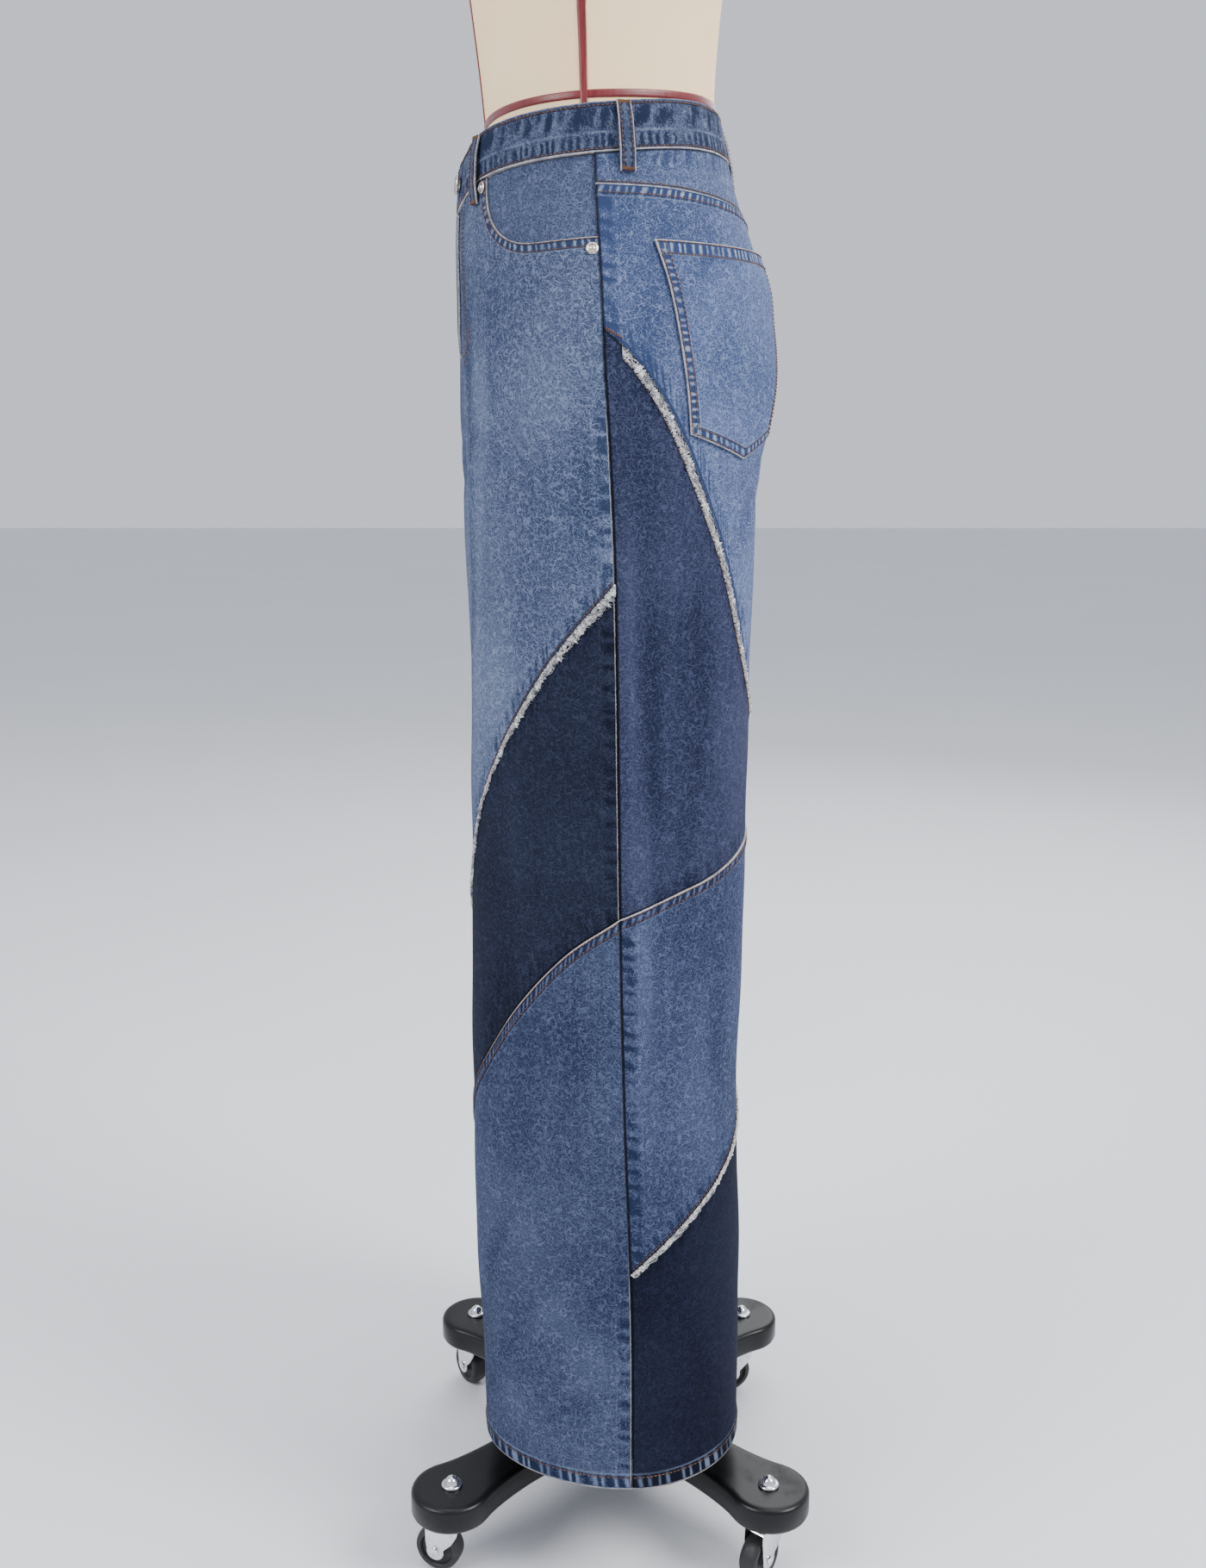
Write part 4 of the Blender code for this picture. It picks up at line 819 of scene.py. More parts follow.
front_fray_line = smooth_line(FRONT_FRAY_LINE)
front_fell_line = smooth_line(FRONT_FELL_LINE)
back_fell_line = smooth_line(BACK_FELL_LINE)
back_fray_line = smooth_line(BACK_FRAY_LINE)
calf_fray_line = smooth_line(CALF_FRAY_LINE)


def hem_line(angle):
    return HEM_Z + 0.0 * np.asarray(angle, float)


def metres_per_degree(angle, z):
    return np.linalg.norm(section(angle + HALF_DEGREE, z) - section(angle - HALF_DEGREE, z), axis=-1)


def slope_of(line, angle):
    """How steeply a seam line climbs, in metres up for each metre round."""
    angle = np.asarray(angle, float)
    return (line(angle + HALF_DEGREE) - line(angle - HALF_DEGREE)) / metres_per_degree(angle, line(angle))


def stations(length, first, last, step):
    """Rows along lengths of cloth: close at both ends, even between. One column a length."""
    length = np.atleast_1d(np.asarray(length, float))
    count = max(2, int(round((float(length.mean()) - first[-1] - last[-1]) / step)))
    t = np.linspace(0.0, 1.0, count + 1)[:, None]
    middle = first[-1] + (length[None, :] - last[-1] - first[-1]) * t
    low = np.array(first[:-1])[:, None] + 0.0 * length[None, :]
    high = length[None, :] - np.array(last[-2::-1])[:, None]
    return np.concatenate([low, middle, high]) / length[None, :]


def patch(low, high, start, end, across, up):
    """Angles and heights between four edges. across is the places of the columns."""
    a = np.empty(up.shape)
    z = np.empty(up.shape)
    s = across[None, :]
    for target, k in ((a, 0), (z, 1)):
        corner = [float(low(0.0)[k]), float(low(1.0)[k]), float(high(0.0)[k]), float(high(1.0)[k])]
        bent = (1 - up) * low(across)[k][None, :] + up * high(across)[k][None, :]
        bent = bent + (1 - s) * start(up)[k] + s * end(up)[k]
        flat = (1 - s) * (1 - up) * corner[0] + s * (1 - up) * corner[1]
        target[:] = bent - flat - (1 - s) * up * corner[2] - s * up * corner[3]
    return a, z


def line_edge(line, start, end, shift):
    """An edge along a seam line, half a gap to one side of it."""
    def edge(s):
        a = start + (end - start) * np.asarray(s, float)
        steep = slope_of(line, np.clip(a, start + END_MARGIN, end - END_MARGIN))
        return a, line(a) + shift * np.sqrt(1 + steep ** 2)
    return edge


def level_edge(angle, low, high):
    """An edge up a side seam or an inseam, at one angle."""
    def edge(t):
        return angle + 0.0 * t, low + (high - low) * np.asarray(t, float)
    return edge


def middle_edge(low, high, back):
    """An edge up the inseam and on up the middle seam."""
    def edge(t):
        z = low + (high - low) * np.asarray(t, float)
        turn = middle_angle(z)
        inseam = np.where(z <= CROTCH_Z, INSEAM_GAP_ANGLE, 0.0)
        return (180.0 + turn - inseam if back else inseam - turn), z
    return edge


# %% How the cloth swells and rolls beside a seam
def roll(distance):
    """Down into a plain seam."""
    return -ROLL * np.clip(1 - distance / 0.0016, 0.0, 1.0) ** 2


def fell(distance):
    """Up over a felled seam, with a round upper edge and a step at its stitches."""
    rise = FELL_RISE * np.clip(distance / 0.0005, 0.35, 1.0)
    return rise * np.clip((FELL_WIDTH + 0.0006 - distance) / 0.0010, 0.0, 1.0)


def hem(distance):
    """A turned hem: a round bottom edge and a small step above its stitches."""
    round_edge = -0.0007 * np.clip(1 - distance / 0.0010, 0.0, 1.0) ** 2
    return round_edge + 0.0006 * np.clip((HEM_HEIGHT + 0.0006 - distance) / 0.0010, 0.0, 1.0)


def tone_of(angle, z, side):
    """Paler where the cloth stands proud and darker in its folds, partly wear and partly painted highlight
    and painted shade. It is also paler on the thigh above the knee and darker towards the waistband, with
    painted shade beside the side seam at the top, and the patches added.
    """
    proud = relief(angle, z, side) - 0.35 * fold_depth(angle, z)
    height = 0.10 * np.clip((0.98 - z) / 0.25, 0.0, 1.0) - 0.11 * np.clip((z - 0.94) / 0.10, 0.0, 1.0)
    # Painted shade in a strip beside the side seam, on the hip and upper thigh.
    painted_side_seam_shade = np.exp(-((round_from_side(angle) / 0.030) ** 2))
    painted_side_seam_shade = 0.12 * painted_side_seam_shade * np.clip((z - 0.80) / 0.10, 0.0, 1.0)
    # Patches of wear, and of painted highlight and painted shade along the folds.
    patches = long_spots(WEAR_AND_FOLD_SHADING_PATCHES, round_from_side(angle), z, side < 0)
    return np.clip(proud * 130.0, -0.20, 0.20) + height * (z > 0.6) - painted_side_seam_shade + patches


def allowance_here(name, z):
    """The side seam's allowance is pressed to the back, the front, the back and the front again."""
    if name == "front_upper":
        return np.clip((0.955 - z) / 0.03, 0.0, 1.0)
    if name == "front_lower":
        return np.clip((0.300 - z) / 0.03, 0.12, 1.0)
    return 1.0


cut_sizes = {}


def panel(word, side, name, grid, lines, kinds, neighbours):
    """One sewn panel with its walls, its distances from the seams and its flat size."""
    a, z = grid
    shift = RIGHT_SHIFT if side < 0 else 0.0
    arc = arc_from_side(a, z)
    channels = {
        "grain": field(arc + shift, z),
        "side": field(z + shift, np.abs(arc), 1 - allowance_here(name, z)),
        "tone": field(tone_of(a, z, side)),
    }
    out = roll(np.maximum(np.abs(arc) - 0.0001, 0.0))
    for place, line, kind in zip(("low", "high"), lines, kinds):
        steep = 1 / np.sqrt(1 + slope_of(line, np.clip(a, -89.0, 269.0)) ** 2)
        away = z - line(a) if place == "low" else line(a) - z
        distance = np.maximum(away * steep - HALF_GAP, 0.0)
        channels[place] = field(arc / steep + shift, distance)
        out = out + {"plain": roll, "fell": fell, "hem": hem}[kind](distance)
    if name == "front_upper":
        channels["opening"] = opening_distance(a, z)
        out = out + roll(channels["opening"][..., 1])
    thickness = CLOTH
    if kinds[0] == "hem":
        thickness = np.where(z < HEM_Z + HEM_HEIGHT, HEM_CLOTH, CLOTH)
    inner = cloth(a, z, -thickness, side)
    mesh = wall_mesh(f"{word}_{name}", cloth(a, z, out, side), inner, side < 0, channels)
    piece = place_piece(f"sewn_{word}_{name}", mesh, finishes[name], (f"{word}_{name}",))
    wide, tall = laid_flat(np.stack([arc, z], -1).reshape(-1, 2))
    cut_sizes[piece.name] = (piece, wide, tall, quad_area(section(a, z)), neighbours)


def laid_flat(places):
    """The smallest rectangle that a piece can be cut from, turned as it needs."""
    best = None
    for turn in np.radians(np.arange(0.0, 90.0, 2.0)):
        x = places[:, 0] * cos(turn) + places[:, 1] * sin(turn)
        y = places[:, 1] * cos(turn) - places[:, 0] * sin(turn)
        size = (float(np.ptp(x)), float(np.ptp(y)))
        if best is None or size[0] * size[1] < best[0] * best[1]:
            best = size
    return best


def quad_area(grid):
    first = np.cross(grid[1:, 1:] - grid[:-1, :-1], grid[1:, :-1] - grid[:-1, 1:])
    return float(np.linalg.norm(first, axis=-1).sum() / 2)


# %% The front pocket's opening
POCKET_START, POCKET_FLAT = 35.0, 62.0          # degrees: at the waistband, and where it runs level
POCKET_DEPTH_Z, POCKET_SIDE_Z = 1.0595, 1.0625
POCKET_SQUARENESS = 2.4
POCKET_CURVED = 0.66        # share of the opening that is curved
FRONT_TOP_TURN = 0.42       # share of the front's upper edge that is sewn to the waistband


def run_along(points):
    """The distance from the first point, at each point of a path."""
    return np.concatenate([[0.0], np.cumsum(np.linalg.norm(np.diff(points, axis=0), axis=1))])


def pocket_edge(t):
    """The opening, t from 0 at the waistband to 1 at the side seam."""
    t = np.asarray(t, float)
    turn = np.clip(t / POCKET_CURVED, 0.0, 1.0) * pi / 2
    top = float(waist_height(POCKET_START))
    across = np.abs(np.cos(turn)) ** (2 / POCKET_SQUARENESS)
    down = np.sin(turn) ** (2 / POCKET_SQUARENESS)
    level = np.clip((t - POCKET_CURVED) / (1 - POCKET_CURVED), 0.0, 1.0)
    a = POCKET_FLAT - (POCKET_FLAT - POCKET_START) * across + (FRONT_SIDE - POCKET_FLAT) * level
    z = top - (top - POCKET_DEPTH_Z) * down + (POCKET_SIDE_Z - POCKET_DEPTH_Z) * level ** 1.3
    return a, z


def flat_place(angle, z):
    """A point in the flat cloth, for distances."""
    return np.stack([arc_from_side(angle, z), z], -1)


opening_path = flat_place(*pocket_edge(np.linspace(0.0, 1.0, 120)))
opening_run = run_along(opening_path)


def opening_distance(angle, z):
    places = flat_place(angle, z)
    gaps = np.linalg.norm(places[..., None, :] - opening_path, axis=-1)
    nearest = gaps.argmin(-1)
    return field(opening_run[nearest], gaps.min(-1))


print("length of a front pocket's opening:", round(float(opening_run[-1]), 3), "m")


def front_top(s):
    """The upper edge of the front: along the waistband, then down round the pocket."""
    s = np.asarray(s, float)
    a = POCKET_START * np.minimum(s / FRONT_TOP_TURN, 1.0)
    pocket_a, pocket_z = pocket_edge(np.clip((s - FRONT_TOP_TURN) / (1 - FRONT_TOP_TURN), 0.0, 1.0))
    on_waist = s < FRONT_TOP_TURN
    return np.where(on_waist, a, pocket_a), np.where(on_waist, waist_height(a), pocket_z) - HALF_GAP


# %% [markdown]
# ### Cutting the eight panels of each leg
#
# The front has three panels and the back has four and a yoke. The lines between
# them run level at neither side: they climb towards the side seam in front, and
# fall away from it behind, so the dark cloth makes two long lozenges.

# %% Make the panels
GRID, YOKE_GRID = 0.0042, 0.0032
LONG_PANELS = (
    # name, lower and upper line, what their edges are, neighbours, slot
    ("front_middle", (front_fell_line, front_fray_line), ("plain", "plain"),
     ("front_lower", "front_upper"), "dark_denim"),
    ("front_lower", (hem_line, front_fell_line), ("hem", "fell"),
     ("front_middle", "back_bottom"), "light_denim"),
    ("back_middle", (back_fell_line, back_fray_line), ("plain", "plain"),
     ("back_upper", "back_lower"), "dark_denim"),
    ("back_lower", (calf_fray_line, back_fell_line), ("plain", "fell"),
     ("back_middle", "back_bottom"), "light_denim"),
    ("back_bottom", (hem_line, calf_fray_line), ("hem", "plain"),
     ("back_lower", "front_lower"), "dark_denim"),
)


def heights(s, *edges):
    """How high edges are at one end."""
    return [float(edge(s)[1]) for edge in edges]


def cut_out(word, side, name, low, high, start, end, lines, kinds, neighbours, yoke=False):
    """A panel between a lower, an upper, a first and a last edge."""
    across = stations(0.15 if yoke else 0.25, PLAIN_EDGE, PLAIN_EDGE, GRID)[:, 0]
    lengths = high(across)[1] - low(across)[1]
    if yoke:
        turns = BACK_SIDE + (180.0 - BACK_SIDE) * across
        lengths = waist_height(turns) - yoke_height(turns)
    up = stations(lengths, EDGE_ROWS[kinds[0]], EDGE_ROWS[kinds[1]], YOKE_GRID if yoke else GRID)
    panel(word, side, name, patch(low, high, start, end, across, up), lines, kinds, neighbours)


def seat_top(s):
    a = BACK_SIDE + (180.0 - BACK_SIDE) * np.asarray(s, float)
    return a, yoke_height(a) - HALF_GAP


def make_panels(side, word):
    low = line_edge(front_fray_line, FRONT_INSEAM, FRONT_SIDE, HALF_GAP)
    start = middle_edge(*heights(0.0, low, front_top), False)
    end = level_edge(FRONT_SIDE, *heights(1.0, low, front_top))
    cut_out(word, side, "front_upper", low, front_top, start, end, (front_fray_line, waist_height),
            ("plain", "plain"), ("front_middle", "back_upper", "waistband"))

    for name, lines, kinds, neighbours, slot in LONG_PANELS:
        first, last = (BACK_SIDE, BACK_INSEAM) if name.startswith("back") else (FRONT_INSEAM, FRONT_SIDE)
        low = line_edge(lines[0], first, last, 0.0 if kinds[0] == "hem" else HALF_GAP)
        high = line_edge(lines[1], first, last, -HALF_GAP)
        start = level_edge(first, *heights(0.0, low, high))
        end = level_edge(last, *heights(1.0, low, high))
        cut_out(word, side, name, low, high, start, end, lines, kinds, neighbours)

    low = line_edge(yoke_height, BACK_SIDE, 180.0, HALF_GAP)
    high = line_edge(waist_height, BACK_SIDE, 180.0, -HALF_GAP)
    start = level_edge(BACK_SIDE, *heights(0.0, low, high))
    end = level_edge(180.0, *heights(1.0, low, high))
    cut_out(word, side, "yoke", low, high, start, end, (yoke_height, waist_height), ("plain", "plain"),
            ("back_upper", "waistband"), yoke=True)

    low = line_edge(back_fray_line, BACK_SIDE, BACK_INSEAM, HALF_GAP)
    start = level_edge(BACK_SIDE, *heights(0.0, low, seat_top))
    end = middle_edge(*heights(1.0, low, seat_top), True)
    cut_out(word, side, "back_upper", low, seat_top, start, end, (back_fray_line, yoke_height),
            ("plain", "fell"), ("yoke", "back_middle", "front_upper"))


for side, word in LEGS:
    make_panels(side, word)
print(len(cut_sizes), "panels,", sum(len(p[0].data.polygons) for p in cut_sizes.values()), "faces")

# %% [markdown]
# ### Pockets, waistband, belt loops and fly
#
# The front pocket's facing lies one layer down. The back pocket is a patch with
# a pointed base. The waistband is one folded strip whose left end laps over and
# takes the button. Five loops stand a little off it, and the fly's folded edge
# covers the middle seam. Each is pressed flat before it is sewn on.

# %% Small pieces of the top
POCKET_LIFT = 0.0011
BACK_POCKET_TOP, BACK_POCKET_BASE, BACK_POCKET_TIP = 1.061, 0.926, 0.909
BACK_POCKET_SIDES = ((106.6, 166.5), (116.6, 163.5))    # degrees at the top and at the base
BACK_POCKET_TIP_AT = 0.56                               # share of its width
BACK_POCKET_WIDE, BACK_POCKET_TALL = 0.133, 0.140       # turn a row's distance into a share
WAIST_RADIUS = float(side_at(1.11))
BAND_HEIGHT, BAND_LIFT = 0.034, 0.0008
BAND_RADIUS = 0.1235        # turns an angle into metres round the band
BAND_OVERLAP_X = -0.002
BAND_END_RISE, BAND_END_TURN = 0.0016, 14.0             # the lapped end lies on the other one
BAND_START = degrees(BAND_OVERLAP_X / WAIST_RADIUS)
LOOP_WIDTH, LOOP_BOW = 0.012, 0.0024
LOOP_TURN = degrees(LOOP_WIDTH / 2 / WAIST_RADIUS)
LOOPS = (
    # name, angle, below the waistband's seam, above it
    ("left_front_loop", 28.0, 0.0165, 0.0325),
    ("left_side_loop", 100.8, 0.0150, 0.0335),
    ("back_loop", 180.0, 0.0150, 0.0335),
    ("right_side_loop", 259.2, 0.0150, 0.0335),
    ("right_front_loop", 332.0, 0.0165, 0.0325),
)
FLY_WIDTH, FLY_LAP, FLY_LOW_Z = 0.010, 0.002, 0.985
FACING_DEPTH = 0.014        # how far the pocket's facing reaches below its opening


def small_piece(word, finish_name, outer, inner, channels, grid, neighbours=(), flip=False):
    """One small sewn piece, and what it was cut to along its own grid."""
    mesh = wall_mesh(word, outer, inner, flip, channels)
    piece = place_piece(f"sewn_{word}", mesh, finishes[finish_name], (word,))
    wide = float(np.linalg.norm(np.diff(grid, axis=1), axis=-1).sum(1).max())
    tall = float(np.linalg.norm(np.diff(grid, axis=0), axis=-1).sum(0).max())
    cut_sizes[piece.name] = (piece, wide, tall, quad_area(grid), neighbours)


def pocket_corner(s, t):
    """A point of the back pocket: s across it, t from its pointed base up."""
    (top_in, top_out), (base_in, base_out) = BACK_POCKET_SIDES
    to_tip = np.minimum(s / BACK_POCKET_TIP_AT, (1 - s) / (1 - BACK_POCKET_TIP_AT))
    base_z = BACK_POCKET_BASE - (BACK_POCKET_BASE - BACK_POCKET_TIP) * to_tip
    start = base_in + (top_in - base_in) * t
    end = base_out + (top_out - base_out) * t
    return start + (end - start) * s, base_z + (BACK_POCKET_TOP - base_z) * t


def make_back_pocket(side, word):
    s = stations(0.135, PLAIN_EDGE, PLAIN_EDGE, GRID)[:, 0][None, :]
    t = stations(0.145, PLAIN_EDGE, HEM_EDGE, GRID)[:, 0][:, None]
    s, t = np.broadcast_arrays(s, t)
    a, z = pocket_corner(s, t)
    across = arc_from_side(a, z)
    edge = np.minimum(np.abs(across - across[:, :1]), np.abs(across - across[:, -1:])) * 0.985
    low = (z - pocket_corner(s, 0.0 * t)[1]) * 0.97
    high = BACK_POCKET_TOP - z
    shift = RIGHT_SHIFT if side < 0 else 0.0
    channels = {
        "grain": field(across + shift + 0.7, z),
        "side": field(z + shift, edge),
        "low": field(across + shift, low),
        "high": field(across + shift, high),
        "tone": field(tone_of(a, z, side) + 0.04),
    }
    out = roll(edge) + roll(low) + 0.0005 * np.clip((0.0106 - high) / 0.0012, 0.0, 1.0) + roll(high)
    out = out - 0.0002 * (np.abs(edge - 0.0042) < 0.0022)
    outer = cloth(a, z, POCKET_LIFT + CLOTH + out, side)
    small_piece(f"{word}_back_pocket", "back_pocket", outer, cloth(a, z, POCKET_LIFT, side), channels,
                section(a, z), ("back_upper",), side < 0)


def make_facing(side, word):
    t = np.linspace(0.0, 1.0, 34)
    pocket_a, pocket_z = pocket_edge(t)
    pocket_a = np.concatenate([[POCKET_START - 5.0], pocket_a[1:]])
    low = pocket_z - FACING_DEPTH
    low[0] = waist_height(POCKET_START - 5.0) - 0.022
    rows = np.linspace(0.0, 1.0, 16)[:, None]
    a = pocket_a[None, :] + 0.0 * rows
    z = low[None, :] + (waist_height(a) - SEAM_GAP - low[None, :]) * rows
    lift = -CLOTH - OVERLAY_LIFT
    shift = RIGHT_SHIFT if side < 0 else 0.0
    channels = {"grain": field(arc_from_side(a, z) + shift + 1.3, z), "tone": field(0.0 * a)}
    inner = cloth(a, z, lift - CLOTH * 0.7, side)
    small_piece(f"{word}_pocket_facing", "pocket_facing", cloth(a, z, lift, side), inner, channels,
                section(a, z), ("front_upper",), side < 0)


def end_rise(angle):
    """How far the lapped end of the waistband lifts what lies on it."""
    return BAND_END_RISE * np.maximum(0.0, 1 - (np.asarray(angle, float) - BAND_START) / BAND_END_TURN)


def make_waistband():
    end = 360.0 + BAND_START - degrees(SEAM_GAP / WAIST_RADIUS)
    close = np.array([0.0, 0.3, 0.8, 1.8])
    a = np.concatenate([BAND_START + close, np.linspace(BAND_START + 3.3, end - 3.3, 190), end - close[::-1]])
    distance = np.array([0.0, 0.0005, 0.0014, 0.0030, 0.0052, 0.0090, 0.0130, 0.0170, 0.0210, 0.0250, 0.0288,
                         0.0310, 0.0326, 0.0335, 0.0340])[:, None]
    a, distance = np.broadcast_arrays(a[None, :], distance)
    around = np.where(a > 180.0, 360.0 - a, np.abs(a))
    z = waist_height(around) + HALF_GAP + distance
    ends = np.minimum(a - BAND_START, end - a) * 0.0023
    high = BAND_HEIGHT - distance
    base = BAND_LIFT + end_rise(a)
    out = base + roll(distance) + roll(high) + roll(ends)
    out = out + 0.00022 * np.sin(a * 0.9) * np.sin(distance * 150.0)
    out = out + 0.00012 * np.sin(a * 7.1 + distance * 260.0)
    for sunk in (distance - 0.0022, high - 0.0028):
        out = out - 0.00030 * np.exp(-((sunk / 0.0011) ** 2))
    outer = waist_ring(a, z, out)
    inner = waist_ring(a, z, base - BAND_CLOTH)
    length = np.radians(a) * BAND_RADIUS
    channels = {
        "grain": field(z + 5.0, length),
        "low": field(length, distance),
        "high": field(length, high),
        "tone": field(0.10 * np.sin(a * 0.11 + 1.0) + 0.06 * np.sin(a * 0.37)),
    }
    small_piece("waistband", "waistband", outer, inner, channels, outer)


def loop_path(angle, below, above, part):
    """Heights along a loop, and how far it bows off the waistband."""
    seat = float(waist_height(angle if angle <= 180.0 else 360.0 - angle))
    bow = LOOP_BOW * np.minimum(1.0, np.sin(pi * part) * 1.25)
    return seat - below + (below + above) * part, BAND_LIFT + OVERLAY_LIFT + bow


def make_loop(name, angle, below, above):
    part = np.linspace(0.0, 1.0, 25)[:, None]
    across = np.array([-1.0, -0.93, -0.72, -0.35, 0.0, 0.35, 0.72, 0.93, 1.0])[None, :]
    part, across = np.broadcast_arrays(part, across)
    z, bow = loop_path(angle, below, above, part)
    bow = bow + end_rise(angle)
    edge = (1 - np.abs(across)) * LOOP_WIDTH / 2
    face = bow + CLOTH + roll(edge) - 0.00025 * (np.abs(np.abs(across) - 0.72) < 0.02)
    a = angle + LOOP_TURN * across
    channels = {
        "grain": field(across * 0.006 + angle, z),
        "side": field(z, edge),
        "tone": field(0.08 * np.sin(part * 9.0)),
    }
    outer = waist_ring(a, z, face)
    small_piece(name, "loop", outer, waist_ring(a, z, bow), channels, outer)


def make_fly():
    high = float(waist_height(0.0)) - SEAM_GAP
    z = np.linspace(FLY_LOW_Z, high, 34)[:, None]
    x = np.array([-FLY_LAP, -0.0015, -0.0005, 0.0008, 0.0025, 0.0045, 0.0065, 0.0085, 0.0095, FLY_WIDTH])
    z, x = np.broadcast_arrays(z, x[None, :])
    edge = -middle_angle(z)
    base = cloth(edge + np.maximum(x, 0.0) / metres_per_degree(edge, z), z)
    base = base + np.minimum(x, 0.0)[..., None] * np.array([1.0, sin(BODY_TURN), 0.0])
    forward = np.array([sin(BODY_TURN), -cos(BODY_TURN), 0.0])
    side_distance = np.minimum(x + FLY_LAP, FLY_WIDTH - x)
    outer = base + forward * (OVERLAY_LIFT + CLOTH + roll(side_distance))[..., None]
    channels = {
        "grain": field(x + 7.0, z),
        "side": field(z, side_distance),
        "tone": field(0.0 * x),
    }
    small_piece("fly", "loop", outer, base + forward * OVERLAY_LIFT, channels, outer)


for side, word in LEGS:
    make_back_pocket(side, word)
    make_facing(side, word)
make_waistband()
make_fly()
for loop in LOOPS:
    make_loop(*loop)
print(len(cut_sizes), "pieces of cloth in all")

# %% [markdown]
# ## Thread
#
# Jeans are sewn with thick rust thread, about eight stitches to the inch. Each
# stitch is a short bowed bead whose ends dive into the cloth, as a lockstitch
# does. Rows follow the seams at the distance that the machine's foot gives.

# %% Stitch template and rows
THREAD_RADIUS, STITCH_PITCH, STITCH_LENGTH = 0.00044, 0.0033, 0.0026
STITCH_PROFILE = (
    # along its length, thickness, rise
    (-0.5, 0.45, -0.9), (-0.32, 0.95, 0.35), (0.0, 1.05, 0.75), (0.32, 0.95, 0.35), (0.5, 0.45, -0.9),
)
STITCH_POINTS = 4 * len(STITCH_PROFILE)
TACK_PITCH, TACK_RADIUS = 0.00055, 0.00026
stitch_rows = {}


def beads(points, outward, length, radius, pitch):
    """Stitches along a path of points with their outward directions, as vertices and faces."""
    run = run_along(points)
    count = max(1, int(run[-1] / pitch))
    places = (np.arange(count) + 0.5) * run[-1] / count

    def at(where, values):
        return np.stack([np.interp(where, run, values[:, k]) for k in range(3)], -1)

    centre, up = at(places, points), at(places, outward)
    along = at(places + 0.0005, points) - at(places - 0.0005, points)
    along /= np.linalg.norm(along, axis=1, keepdims=True)
    up -= along * (up * along).sum(1, keepdims=True)
    up /= np.linalg.norm(up, axis=1, keepdims=True)
    across = np.cross(up, along)
    vertices = []
    for place, thick, rise in STITCH_PROFILE:
        for corner in range(4):
            turn = pi / 4 + corner * pi / 2
            aside, lift = radius * thick * cos(turn), radius * (rise + thick * sin(turn) * 0.8)
            vertices.append(centre + along * (length * place) + across * aside + up * lift)
    block = np.stack(vertices, 1)
    rings = np.arange(STITCH_POINTS).reshape(-1, 4)
    faces = [rings[0, ::-1], rings[-1]]
    for j in range(4):
        for k in range(4):
            m = (k + 1) % 4
            faces.append([rings[j, k], rings[j, m], rings[j + 1, m], rings[j + 1, k]])
    offset = (np.arange(count) * STITCH_POINTS)[:, None, None]
    return block.reshape(-1, 3), (np.array(faces)[None] + offset).reshape(-1, 4)


def joined(parts):
    """Several (points, faces) as the points and faces of one mesh."""
    firsts = np.cumsum([0] + [len(points) for points, _ in parts])
    faces = np.concatenate([faces + first for (_, faces), first in zip(parts, firsts)])
    return np.concatenate([points for points, _ in parts]).tolist(), faces.tolist()


def sew(group, points, outward, pitch=STITCH_PITCH, length=STITCH_LENGTH, radius=THREAD_RADIUS):
    stitch_rows.setdefault(group, []).append(beads(points, outward, length, radius, pitch))


def cloth_row(angle, z, out, side):
    """A path on the cloth with its outward directions."""
    points = cloth(angle, z, out, side)
    lifted = cloth(angle, z, np.asarray(out) + 0.001, side)
    return points, (lifted - points) / 0.001


def sew_line(group, line, start, end, distance, out, side):
    """A row beside a seam line: above it where distance is positive, below where negative."""
    angle = np.linspace(start, end, 260)
    steep = slope_of(line, np.clip(angle, start + END_MARGIN, end - END_MARGIN))
    z = line(angle) + distance * np.sqrt(1 + steep ** 2)
    sew(group, *cloth_row(angle, z, out, side))


def bar_tack(group, centre, along, up, length, width=0.0022):
    """A dense short bar: many stitches side by side across its length."""
    across = np.cross(up, along)
    count = int(length / TACK_PITCH)
    for k in range(count):
        seat = centre + along * ((k + 0.5) / count - 0.5) * length
        ends = np.stack([seat - across * width / 2, seat + across * width / 2])
        sew(group, ends, np.stack([up, up]), pitch=width, length=width * 1.25, radius=TACK_RADIUS)


def unit(vector):
    return vector / np.linalg.norm(vector)


# %% Rows on the legs and the seat
HEM_ROW = 0.0112
LEG_ROWS = (
    # piece, seam line, first and last angle, distance up from it, height over the cloth
    ("front_upper", front_fray_line, -88.0, 89.0, 0.0022, 0.0),
    ("front_lower", front_fell_line, -88.5, 89.3, -0.0014, FELL_RISE),
    ("front_lower", front_fell_line, -88.5, 89.3, -0.0064, FELL_RISE),
    ("back_lower", back_fell_line, 90.7, 268.5, -0.0014, FELL_RISE),
    ("back_lower", back_fell_line, 90.7, 268.5, -0.0064, FELL_RISE),
    ("back_lower", calf_fray_line, 91.0, 268.5, 0.0022, 0.0),
    ("back_middle", back_fray_line, 95.0, 268.5, -0.0068, 0.0),
    ("yoke", yoke_height, 90.6, 179.4, 0.0016, 0.0),
    ("back_upper", yoke_height, 90.6, 179.4, -0.0064, FELL_RISE),
    ("front_lower", hem_line, -89.5, 89.6, HEM_ROW, 0.0006),
    ("back_bottom", hem_line, 90.4, 269.5, HEM_ROW, 0.0006),
)
